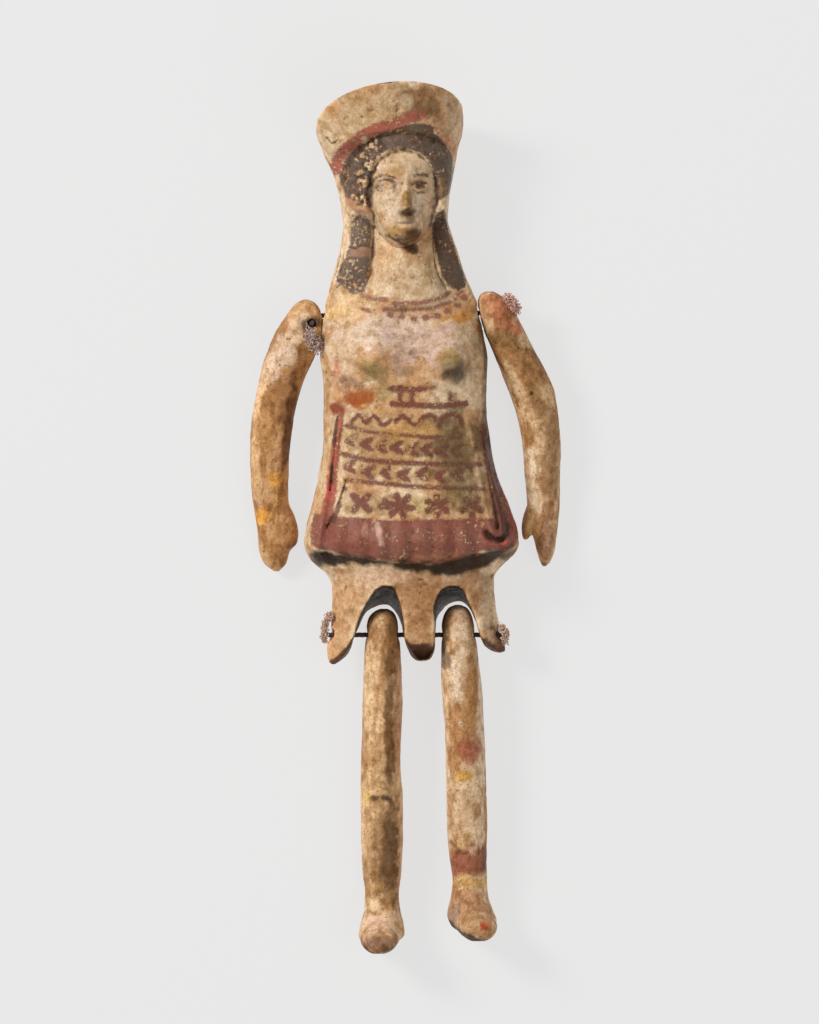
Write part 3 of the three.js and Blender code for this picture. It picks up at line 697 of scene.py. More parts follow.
def shoulder_chip():
    """The ragged break that opens the hole in the right shoulder."""
    corners = [spot(x, y) for x, y in CHIP]
    count = len(corners)
    vertices = [(x, y, z) for z in (ARM_CORD_HEIGHT, 14.0) for x, y in corners]
    faces = [list(range(count))[::-1], list(range(count, 2 * count))]
    for k in range(count):
        after = (k + 1) % count
        faces.append([k, after, after + count, k + count])
    return mesh_object("chip", vertices, faces)


# Paint, stains and painted shade and highlights, as signed distances in millimetres: positive inside


def line_distance(xy, points, width):
    """Half the width of a stroke, less the distance to its line. `width` may change along it."""
    points = np.array(points, dtype=float)
    widths = np.broadcast_to(width, len(points))
    best = np.full(len(xy), -99.0)
    for a, b, wa, wb in zip(points, points[1:], widths, widths[1:]):
        run = b - a
        t = np.clip((xy - a) @ run / max(run @ run, 1e-9), 0, 1)
        away = np.linalg.norm(xy - a - t[:, None] * run, axis=1)
        best = np.maximum(best, mix(wa, wb, t) / 2 - away)
    return best


def area_distance(xy, points):
    """Distance to the outline of an area, positive inside it."""
    points = np.array(points, dtype=float)
    near = np.full(len(xy), 99.0)
    inside = np.zeros(len(xy), dtype=bool)
    for a, b in zip(points, np.roll(points, -1, axis=0)):
        run = b - a
        t = np.clip((xy - a) @ run / max(run @ run, 1e-9), 0, 1)
        near = np.minimum(near, np.linalg.norm(xy - a - t[:, None] * run, axis=1))
        crosses = (a[1] > xy[:, 1]) != (b[1] > xy[:, 1])
        level = a[0] + (xy[:, 1] - a[1]) / (run[1] if run[1] else 1e-9) * run[0]
        inside ^= crosses & (xy[:, 0] < level)
    return np.where(inside, near, -near)


def tone(red, green, blue):
    """A colour given as it is seen on a screen, from 0 to 255."""
    c = np.array([red, green, blue]) / 255
    return np.where(c <= 0.04045, c / 12.92, ((c + 0.055) / 1.055) ** 2.4)


class Coat:
    """The colours of a piece: its ground with its stains and painted shade, and one coat of paint over it."""

    def __init__(self, mesh):
        self.v = coordinates(mesh)
        self.n = normals(mesh)
        self.xy = self.v[:, :2]
        self.seen = step(-0.25, 0.15, self.n[:, 2])
        count = len(self.v)
        self.ground = np.zeros((count, 3))
        self.paint = np.tile(tone(100, 60, 50), (count, 1))
        self.cover = np.full(count, -3.0)
        self.keep = np.full(count, 0.7)
        self.crack = np.full(count, 0.0)
        self.gloss = np.full(count, 0.3)

    def clays(self, first, second, size, seed, low=0.35, high=0.65, stretch=1.0):
        """Two clay colours in clouds all over, drawn out lengthwise where `stretch` is below 1."""
        share = step(low, high, clouds(self.v * [1, stretch, 1], size, seed))[:, None]
        self.ground = mix(first, second, share)

    def stain_and_painted_light(self, place, size, colour, strength, turn, seed):
        """A patch of colour on the ground round a pixel of the photograph, with a soft uneven edge; it makes stains,
        painted shade and painted highlights.
        """
        centre = np.array(spot(*place))
        d = self.xy - centre
        angle = math.radians(turn)
        along = d[:, 0] * math.cos(angle) + d[:, 1] * math.sin(angle)
        aside = -d[:, 0] * math.sin(angle) + d[:, 1] * math.cos(angle)
        q = np.hypot(along / (size[0] * PIXEL), aside / (size[1] * PIXEL))
        ragged = clouds(self.v, 1.5, seed) - 0.5
        weight = strength * step(1.2, 0.5, q + ragged) * self.seen
        self.ground = mix(self.ground, colour, weight[:, None])

    def brush(self, distance, colour, keep):
        """A stroke or area of paint, which hides the paint below it."""
        new = (distance > 0) | (distance > self.cover)
        self.cover = np.maximum(distance, self.cover)
        self.paint = np.where(new[:, None], colour, self.paint)
        self.keep = np.where(new, keep, self.keep)

    def stroke(self, points, width, colour, keep, finely=5):
        """A line of paint through pixels. Its width, in pixels too, may change along it."""
        line = catmull(spots(points), finely)
        self.brush(line_distance(self.xy, line, width * PIXEL), colour, keep)

    def shade(self, points, width, colour, strength, soft):
        """A soft stroke along a line of pixels, over the ground and the paint alike; it makes painted shade and
        shadows, and pale and dark stains.
        """
        line = catmull(spots(points), 5)
        widths = np.atleast_1d(width)
        widths = np.interp(np.linspace(0, 1, len(line)), np.linspace(0, 1, len(widths)), widths) * PIXEL
        d = line_distance(self.xy, line, widths) + (clouds(self.v, 1.5, 93) - 0.5) * 0.8
        weight = (strength * step(-soft, soft * 0.7, d) * self.seen)[:, None]
        self.ground = mix(self.ground, colour, weight)
        self.paint = mix(self.paint, colour, weight)

    def split(self, points, width):
        """A crack along a line of pixels."""
        wander = (clouds(self.v, 1.2, 77) - 0.5) * 0.5
        d = line_distance(self.xy + wander[:, None], spots(points), width)
        self.crack = np.maximum(self.crack, step(-0.1, 0.04, d) * self.seen)

    def store(self, mesh):
        self.cover = np.where(self.seen > 0.02, self.cover, -3.0)
        for name, values in (("ground", self.ground), ("paint", self.paint)):
            attribute = mesh.attributes.new(name, "FLOAT_COLOR", "POINT")
            rgba = np.column_stack([np.clip(values, 0, 1), np.ones(len(values))])
            attribute.data.foreach_set("color", rgba.ravel())
        for name in ("cover", "keep", "crack", "gloss"):
            attribute = mesh.attributes.new(name, "FLOAT", "POINT")
            attribute.data.foreach_set("value", getattr(self, name))
        hollow = mesh.attributes.new("hollow", "FLOAT", "POINT")
        hollow.data.foreach_set("value", hollows(mesh, 10))


MAROON = tone(112, 56, 50)
RED = tone(172, 90, 74)
HAIR = tone(66, 60, 56)
CREAM = tone(224, 196, 160)
TAN = tone(204, 158, 114)
BUFF = tone(190, 142, 96)


# The fine relief of the trunk

CURL_ROWS = ((1.09, 15), (1.26, 17), (1.43, 17))
EYES = ((-2.72, 45.85), (2.05, 45.45))


def curls(x, y):
    """Snail curls in three rows along the roll of hair, and a larger lump over each ear."""
    total = np.zeros_like(x)
    for q, count in CURL_ROWS:
        for k in range(count):
            angle = mix(-1.85, 1.85, (k + 0.3 * math.sin(k * 4.1 + q * 30)) / (count - 1))
            out = q + 0.05 * math.sin(k * 2.7 + q * 50)
            cx = FACE_MIDDLE + ROLL["half_width"] * out * math.sin(angle)
            cy = ROLL["y"] + ROLL["up"] * out * math.cos(angle)
            away = np.hypot(x - cx, y - cy)
            snail = 0.5 + 0.5 * np.cos(away * 10 - np.arctan2(y - cy, x - cx))
            strength = (1.0 if angle < -0.35 else 0.35) * (1 + 0.35 * math.sin(k * 5.3 + q * 9))
            total += strength * (bell(away, 0.43) * (0.3 + 0.25 * snail) - 0.12 * bell(away - 0.6, 0.2))
    for cx, cy in ((-5.3, 42.6), (5.2, 45.2)):
        total += 0.4 * bell(np.hypot(x - cx, y - cy), 0.8)
    return total


def face_relief(x, y):
    dx = x - FACE_MIDDLE - 0.35
    total = np.zeros_like(x)
    for eye_x, eye_y in EYES:
        ex, ey = x - eye_x, y - eye_y
        total -= 0.6 * bell(ex, 1.4) * bell(ey - 0.3, 0.9)
        almond = 1 - (ex / 1.3) ** 2 - (ey / (0.6 - 0.12 * np.abs(ex))) ** 2
        total += 0.32 * step(-0.3, 0.9, almond)
        brow = 1.2 - 0.16 * ex**2
        total += 0.2 * bell(ey - brow, 0.34) * bell(ex, 1.7)
    mouth = y - 40.55 + 0.05 * dx**2
    total += 0.26 * bell(mouth - 0.45, 0.35) * bell(dx, 1.2)
    total += 0.4 * bell(mouth + 0.5, 0.42) * bell(dx, 1.15)
    total -= 0.08 * bell(mouth, 0.16) * bell(dx, 1.25)
    total += 0.35 * bell(dx, 1.3) * bell(y - 38.6, 0.8)
    for sign in (-1, 1):
        total += 0.25 * bell(dx - sign * 0.75, 0.34) * bell(y - 42.75, 0.36)
    return total


HOOK = [(489, 440), (496, 470), (503, 500), (508.5, 522), (507, 534), (499, 539.5), (490, 538), (486, 533)]
INNER_GROOVE = [(480, 432), (484, 455), (490, 485), (496, 512), (497, 528)]
BORDER_GROOVES = ([(338, 417), (336, 440), (333, 463), (330, 490)], [(346, 482), (341, 497), (334, 514), (327, 528)])


def groove(x, y, points, width, depth):
    away = line_distance(np.column_stack([x, y]), catmull(spots(points), 6), 0.01)
    return -depth * step(-width, 0, away)


def hem_relief(x, y, side):
    """Sharper pleats at the hem, the grooves of the folds and the curled end of the right one."""
    pleat = np.abs(np.sin(side * math.pi * PLEATS / 2))
    pleated = step(2.2, -1.5, y) * step(-12.4, -10.5, x) * step(12.6, 11.2, x) * step(-7, -5.8, y)
    total = pleated * (0.12 * pleat**0.6 - 0.09)
    total += groove(x, y, HOOK, 0.8, 0.8)
    total += groove(x, y, INNER_GROOVE, 0.45, 0.4)
    for points in BORDER_GROOVES:
        total += groove(x, y, points, 0.35, 0.35)
    return total


def trunk_relief(v, n):
    """What the front gains in height over the plain skin that was cut and rounded."""
    x, y = v[:, 0], v[:, 1]
    level, side = front_row(x, y)
    exact = trunk_height(side, level, x, y) - v[:, 2]
    sure = step(0.3, 0.5, n[:, 2]) * step(0.8, 0.4, np.abs(exact)) * step(TRUNK_TOP - 1, TRUNK_TOP - 2.4, level)
    total = exact * sure
    carved = np.zeros(len(v))
    head = (y > 36.5) & (y < 53.5)
    carved[head] += curls(x[head], y[head]) * step(53.2, 52, y[head]) + face_relief(x[head], y[head])
    apron = (y < 15) & (y > -8)
    carved[apron] += hem_relief(x[apron], y[apron], side[apron])
    carved -= TAB_BEVEL * step(-17.1, -19.1, y) * step(0.6, 1.2, x) * step(4.2, 3.6, x)
    return total + carved * step(0.05, 0.4, n[:, 2])


def wear(v, depth):
    """Lumps, dents and a few small pits of worn clay."""
    lumps = (clouds(v, 5.0, 11) - 0.5) * 0.24 + (clouds(v, 1.3, 12) - 0.5) * 0.06
    pits = -0.1 * step(0.8, 0.92, clouds(v, 1.0, 13, 2))
    return depth * (lumps + pits)


def finish_form(obj, relief=None, depth=1.0):
    mesh = obj.data
    v, n = coordinates(mesh), normals(mesh)
    if relief is not None:
        v[:, 2] += relief(v, n)
        set_coordinates(mesh, v)
        n = normals(mesh)
    v = v + n * wear(v, depth)[:, None]
    set_coordinates(mesh, v)
    return obj


def finished(obj, name, node, material):
    """The piece in metres, inside the box of the node that it stands for."""
    low, high = (np.array(corner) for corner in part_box(node))
    spare = (high - low) * SPARE
    v = np.clip(coordinates(obj.data) * MM, low - spare, high + spare)
    set_coordinates(obj.data, v)
    obj.name = name
    obj.data.name = name
    obj.data.shade_smooth()
    obj.data.materials.clear()
    obj.data.materials.append(material)
    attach(obj, "root")
    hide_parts(node)
    return obj


# Materials


class Tree:
    """A short way to add nodes to a material."""

    def __init__(self, name):
        self.material = bpy.data.materials.new(name)
        self.material.use_nodes = True
        self.tree = self.material.node_tree
        self.shader = self.tree.nodes["Principled BSDF"]
        self.object = self.add("ShaderNodeTexCoord").outputs["Object"]

    def add(self, kind, inputs=None, **settings):
        node = self.tree.nodes.new(kind)
        for key, value in settings.items():
            setattr(node, key, value)
        for key, value in (inputs or {}).items():
            self.feed(node.inputs[key], value)
        return node

    def feed(self, socket, value):
        if isinstance(value, bpy.types.NodeSocket):
            self.tree.links.new(value, socket)
        else:
            socket.default_value = value

    def value(self, name):
        return self.add("ShaderNodeAttribute", attribute_name=name).outputs["Fac"]

    def colour(self, name):
        return self.add("ShaderNodeAttribute", attribute_name=name).outputs["Color"]

    def math(self, operation, a, b=0.0):
        return self.add("ShaderNodeMath", {0: a, 1: b}, operation=operation).outputs[0]

    def ramp(self, value, low, high, to_low=0.0, to_high=1.0):
        inputs = {"Value": value, "From Min": low, "From Max": high, "To Min": to_low, "To Max": to_high}
        return self.add("ShaderNodeMapRange", inputs, interpolation_type="SMOOTHSTEP").outputs["Result"]

    def grain(self, size_mm, detail=4.0, rough=0.6, along=1.0):
        """Noise with lumps of about this size, from 0 to 1. Below 1, `along` draws them out lengthwise."""
        scale = 1.0 / (size_mm * MM)
        place = self.add("ShaderNodeVectorMath", {0: self.object, 1: (1, along, 1)}, operation="MULTIPLY")
        inputs = {"Vector": place.outputs[0], "Scale": scale, "Detail": detail, "Roughness": rough}
        noise_node = self.add("ShaderNodeTexNoise", inputs)
        return self.ramp(noise_node.outputs["Fac"], 0.3, 0.7)

    def blend(self, factor, a, b, mode="MIX"):
        node = self.add("ShaderNodeMix", data_type="RGBA", blend_type=mode)
        self.feed(node.inputs[0], factor)
        self.feed(node.inputs[6], a)
        self.feed(node.inputs[7], b)
        return node.outputs[2]


def rgba(colour):
    return (*[float(c) for c in colour], 1.0)


def clay_material(name, fleck, speck, streak, drawn):
    """Fired clay with a slip, stains, worn paint, cracks and dirt, painted shade in the hollows and a painted
    highlight on the ridges, read from the mesh's attributes.
    """
    t = Tree(name)
    patches = t.grain(1.5, 5.0)
    grain = t.grain(0.45, 4.0)
    fine = t.grain(0.16, 3.0)
    streaks = t.grain(0.8, 5.0, 0.7, drawn)
    body = t.blend(t.ramp(patches, 0.3, 1.0, 0.0, 1.0), t.colour("ground"), (0.74, 0.67, 0.57, 1), "MULTIPLY")
    body = t.blend(t.ramp(streaks, 0.45, 0.95, 0.0, streak), body, (0.72, 0.63, 0.53, 1), "MULTIPLY")
    body = t.blend(t.ramp(streaks, 0.45, 0.1, 0.0, streak), body, (1.12, 1.13, 1.16, 1), "MULTIPLY")
    body = t.blend(t.ramp(grain, 0.45, 1.0, 0.0, fleck), body, (1.35, 1.38, 1.45, 1), "MULTIPLY")
    body = t.blend(t.ramp(fine, 0.45, 0.0, 0.0, 0.6), body, (0.66, 0.6, 0.52, 1), "MULTIPLY")
    worn = t.math("ADD", t.math("MULTIPLY", patches, 0.5), t.math("MULTIPLY", grain, 0.5))
    holes = t.ramp(t.math("SUBTRACT", worn, t.value("keep")), -0.18, 0.14)
    ragged = t.math("ADD", t.value("cover"), t.ramp(grain, 0.0, 1.0, -0.13, 0.13))
    ragged = t.math("ADD", ragged, t.ramp(fine, 0.0, 1.0, -0.05, 0.05))
    mask = t.math("MULTIPLY", t.ramp(ragged, -0.17, 0.19), t.math("SUBTRACT", 1.0, holes))
    mask = t.math("MULTIPLY", mask, t.ramp(fine, 0.0, 0.5, 0.76, 0.95))
    coat = t.blend(t.ramp(patches, 0.0, 1.0, 0.0, 0.4), t.colour("paint"), rgba(tone(80, 50, 42)))
    coat = t.blend(t.ramp(fine, 0.55, 1.0, 0.0, 0.25), coat, rgba(tone(190, 140, 110)))
    colour = t.blend(mask, body, coat)
    specks = t.ramp(t.grain(0.34, 2.0), 0.88, 1.0, 0.0, speck)
    colour = t.blend(specks, colour, rgba(tone(96, 64, 42)))
    # Painted shade mixed with dirt darkens the hollows; a painted highlight lightens the ridges.
    hollow = t.math("ADD", t.value("hollow"), t.ramp(grain, 0.0, 1.0, -0.008, 0.008))
    colour = t.blend(t.ramp(hollow, 0.012, 0.1, 0.0, 0.7), colour, rgba(tone(66, 44, 28)))
    colour = t.blend(t.ramp(hollow, -0.025, -0.11, 0.0, 0.8), colour, (1.3, 1.3, 1.3, 1), "MULTIPLY")
    crack = t.math("MULTIPLY", t.value("crack"), t.ramp(grain, 0.2, 0.8, 0.25, 0.9))
    colour = t.blend(crack, colour, rgba(tone(46, 30, 22)))
    t.feed(t.shader.inputs["Base Color"], colour)
    rough = t.math("SUBTRACT", t.ramp(grain, 0.0, 1.0, 0.5, 0.72), t.math("MULTIPLY", t.value("gloss"), 0.32))
    t.feed(t.shader.inputs["Roughness"], rough)
    t.shader.inputs["Specular IOR Level"].default_value = 0.14
    height = t.math("ADD", t.math("MULTIPLY", fine, 0.22), t.math("MULTIPLY", grain, 0.4))
    height = t.math("ADD", height, t.math("MULTIPLY", mask, 0.3))
    height = t.math("SUBTRACT", height, t.math("MULTIPLY", t.value("crack"), 1.4))
    bump = t.add("ShaderNodeBump", {"Height": height, "Distance": 0.06 * MM, "Strength": 0.6})
    t.feed(t.shader.inputs["Normal"], bump.outputs["Normal"])
    return t.material


def cord_material():
    t = Tree("cord_fibre")
    strands = t.grain(0.12, 3.0)
    colour = t.blend(t.ramp(strands, 0.0, 1.0, 0.0, 1.0), t.colour("ground"), (0.7, 0.66, 0.62, 1), "MULTIPLY")
    t.feed(t.shader.inputs["Base Color"], colour)
    t.shader.inputs["Roughness"].default_value = 0.9
    t.shader.inputs["Sheen Weight"].default_value = 0.3
    bump = t.add("ShaderNodeBump", {"Height": strands, "Distance": 0.04 * MM, "Strength": 0.7})
    t.feed(t.shader.inputs["Normal"], bump.outputs["Normal"])
    return t.material


# Colours of the trunk

BAND = [
    (336, 169), (339, 159), (346, 150), (356, 141), (368, 133), (384, 127), (400, 122), (414, 117.5),
    (422, 114.5),
]
BAND_RIGHT = [(438, 131), (446, 138), (452, 147), (456, 154)]
HAIR_TOP = [
    (338, 171), (340, 162), (347, 152), (357, 143), (370, 134), (384, 129), (398, 126), (412, 124), (424, 124),
    (435, 127), (443, 134), (450, 143), (453, 155), (453, 168), (452, 182), (450, 192), (443, 199), (437, 203),
    (434, 199), (434, 186), (433, 172), (429, 161), (420, 153), (409, 150), (396, 150), (385, 152), (377, 158),
    (373, 167), (372, 180), (371, 196), (370, 210), (366, 214), (358, 214), (350, 206), (345, 194), (340, 182),
]
LOCK_LEFT = [
    (351, 214), (362, 213), (370, 220), (372, 232), (372, 250), (371, 265), (369, 280), (364, 293), (352, 294),
    (343, 287), (336, 280), (340, 266), (346, 256), (350, 244), (350, 228),
]
LOCK_RIGHT = [
    (444, 209), (447, 219), (449, 232), (454, 246), (459, 261), (464, 274), (466, 286), (458, 291), (448, 286),
    (441, 274), (438, 261), (434, 244), (432, 229), (437, 214),
]
NECKLACE = [
    ([(393, 303.5), (411, 303), (427, 301.5), (440, 298), (450, 292.5)], 4.6),
    ([(384, 309.6), (401, 309.6), (427, 309), (444, 304.5), (456, 299)], 4.2),
    ([(362, 296), (374, 299), (386, 300)], 5.0),
    ([(362, 309), (370, 311)], 4.4),
    ([(455, 296), (463, 291)], 4.4),
]
NECKLACE_DOTS = [(390, 315), (401, 317), (414, 319), (426, 317.5), (437, 315.5), (448, 311), (457, 305), (464, 297)]
FACE_PAINT = [
    ([(373, 181), (378, 176.8), (384, 175.2), (390, 176.4), (395.5, 178.8)], 1.7, HAIR),
    ([(376, 185), (381, 182), (387, 180.6), (393, 181.8), (396.5, 185.5)], 1.3, tone(150, 122, 100)),
    ([(375.5, 187.5), (381, 185.6)], 3.0, tone(92, 76, 66)),
    ([(378, 190.5), (384, 190.4)], 2.4, tone(110, 90, 76)),
    ([(392.5, 182), (395, 185.5), (393.5, 190)], 3.2, tone(144, 118, 104)),
    ([(414.5, 176), (420, 174.8), (427, 175.6)], 3.2, tone(78, 64, 54)),
    ([(412.5, 184), (418, 181.8), (426, 183.5)], 1.3, tone(120, 96, 78)),
    ([(417.6, 186.6), (422.6, 186.2)], 5.0, tone(64, 50, 42)),
    ([(418.5, 193.5), (424, 193)], 2.4, tone(122, 98, 80)),
]

WAVES = [
    ([(352, 422), (359, 415), (366, 423), (374, 416), (383, 425), (391, 420)], 4.6),
    ([(396, 421), (403, 416), (410, 422), (417, 425), (423, 418), (431, 415), (436, 420)], 5.0),
    ([(439, 426), (443, 418), (452, 414.5), (459, 418), (462, 425)], 5.6),
]

# The rows of the apron follow lines that sag towards the right.
ROW_TOP = profile([(347, 426), (369, 432), (401, 435), (437, 437.5), (470, 438)])
ROW_MIDDLE = profile([(343, 454), (369, 460.4), (403, 462.7), (440, 464), (478, 464.5)])
ROW_BOTTOM = profile([(346, 480), (388, 484), (429, 487.6), (484, 489)])
HEM_TOP = profile([(318, 514), (330, 514), (345, 517), (365, 518), (395, 520), (430, 519), (480, 518)])
HEM_EDGE = [
    (516, 520), (517, 542), (508, 551), (498, 551), (484, 550), (474, 554), (460, 560), (440, 564), (420, 563.5),
    (400, 562), (384, 560.5), (368, 559), (345, 556), (334, 551), (318, 549), (311, 545), (310, 530),
]


def row_line(row, start, end):
    x = np.linspace(start, end, 12)
    return spots(np.column_stack([x, row(x)]))


def brush_strokes(coat, strokes, colour, keep):
    for points, width in strokes:
        coat.stroke(points, width, colour, keep)


def chevrons(coat, row, drop, start, end, pitch, colour, keep):
    """A row of strokes like arrowheads that point to the viewer's left."""
    for k, x in enumerate(np.arange(start, end, pitch)):
        y = float(row(x)) + drop
        reach = 8.6 + 1.6 * math.sin(k * 2.3)
        y += 0.9 * math.sin(k * 3.1 + drop)
        for sign in (-1, 1):
            stroke = catmull(spots([
                (x - reach * 0.6, y + 0.4 * sign), (x, y + sign * 2.6), (x + reach * 0.6, y + sign * 6.2)
            ]), 4)
            width = np.concatenate([np.linspace(5, 7.2, 5), np.linspace(7, 3.2, len(stroke) - 5)])
            coat.brush(line_distance(coat.xy, stroke, width * PIXEL), colour, keep)


def star(coat, place, arms, radius, turn, colour, keep):
    x, y = place
    for k in range(arms):
        angle = turn + 2 * math.pi * k / arms
        tip = (x + radius * math.cos(angle), y + radius * 0.9 * math.sin(angle))
        coat.brush(line_distance(coat.xy, spots([place, tip]), np.array([7.0, 7.6]) * PIXEL), colour, keep)


def paint_head(coat):
    coat.brush(area_distance(coat.xy, spots(HAIR_TOP)), HAIR, 0.84)
    coat.brush(area_distance(coat.xy, spots(LOCK_LEFT)), tone(98, 86, 80), 0.74)
    coat.brush(area_distance(coat.xy, spots(LOCK_RIGHT)), tone(46, 40, 37), 0.88)
    coat.stroke(BAND, np.linspace(13, 10, 49), RED, 0.75, finely=6)
    coat.stroke(BAND_RIGHT, 9, tone(176, 112, 92), 0.42, finely=6)
    for points, width, colour in FACE_PAINT:
        coat.stroke(points, width, colour, 0.95)
    # The crowns of the curls on the viewer's left are rubbed bare.
    x, y = coat.xy.T
    rubbed = step(380, 370, x / PIXEL + MIDDLE[0]) * step(0.9, 1.05, coat.v[:, 1] / 42.5) * hair_ring(x, y)
    crown = step(-0.02, 0.3, curls(x, y)) * (0.4 + 0.6 * clouds(coat.v, 1.2, 71))
    coat.keep = np.where(coat.cover > 0, coat.keep - rubbed * (0.12 + 0.5 * crown), coat.keep)


def paint_apron(coat):
    brush_strokes(coat, NECKLACE, tone(148, 94, 78), 0.74)
    for x, y in NECKLACE_DOTS:
        coat.brush(line_distance(coat.xy, spots([(x - 1, y), (x + 1, y)]), 6 * PIXEL), tone(140, 90, 74), 0.78)
    ladder = [
        ([(391, 388.5), (410, 389.5), (424, 389)], 6.4),
        ([(424, 388), (436, 387.5)], 3.6),
        ([(393, 404), (415, 405), (440, 406), (466, 403)], 6.4),
        ([(400, 390), (400, 402)], 5.5),
        ([(412, 391), (412, 402)], 5.5),
        ([(450, 394), (451, 400)], 5),
    ]
    brush_strokes(coat, ladder, MAROON, 0.84)
    brush_strokes(coat, WAVES, MAROON, 0.84)
    coat.brush(line_distance(coat.xy, row_line(ROW_TOP, 347, 460), 4.6 * PIXEL), MAROON, 0.7)
    coat.brush(line_distance(coat.xy, row_line(ROW_MIDDLE, 344, 480), 5.4 * PIXEL), MAROON, 0.78)
    coat.brush(line_distance(coat.xy, row_line(ROW_BOTTOM, 346, 484), 4.8 * PIXEL), MAROON, 0.8)
    chevrons(coat, ROW_TOP, 13, 352, 464, 15, MAROON, 0.74)
    chevrons(coat, ROW_MIDDLE, 11.5, 350, 476, 18, MAROON, 0.74)
    star(coat, (361, 503), 4, 11, 0.75, MAROON, 0.8)
    star(coat, (400, 506), 6, 12, 0.2, MAROON, 0.84)
    star(coat, (385, 505), 3, 4, 0.6, MAROON, 0.8)
    star(coat, (437, 506), 6, 10, 0.5, MAROON, 0.8)
    star(coat, (472, 507), 5, 10, 0.3, MAROON, 0.7)
    border = [(341, 413), (338, 430), (335.5, 450), (333, 470), (331, 490), (328, 508), (322, 530)]
    coat.stroke(border, np.linspace(7, 13, 31), tone(158, 68, 52), 0.8)
    folds = [(483, 425), (487, 450), (494, 478), (502, 508), (507, 532)]
    coat.stroke(folds, np.linspace(4, 25, 21), tone(112, 62, 54), 0.8)
    top = [(x, float(HEM_TOP(x))) for x in np.linspace(314, 500, 22)]
    coat.brush(area_distance(coat.xy, spots(top + HEM_EDGE)), tone(132, 68, 60), 0.84)
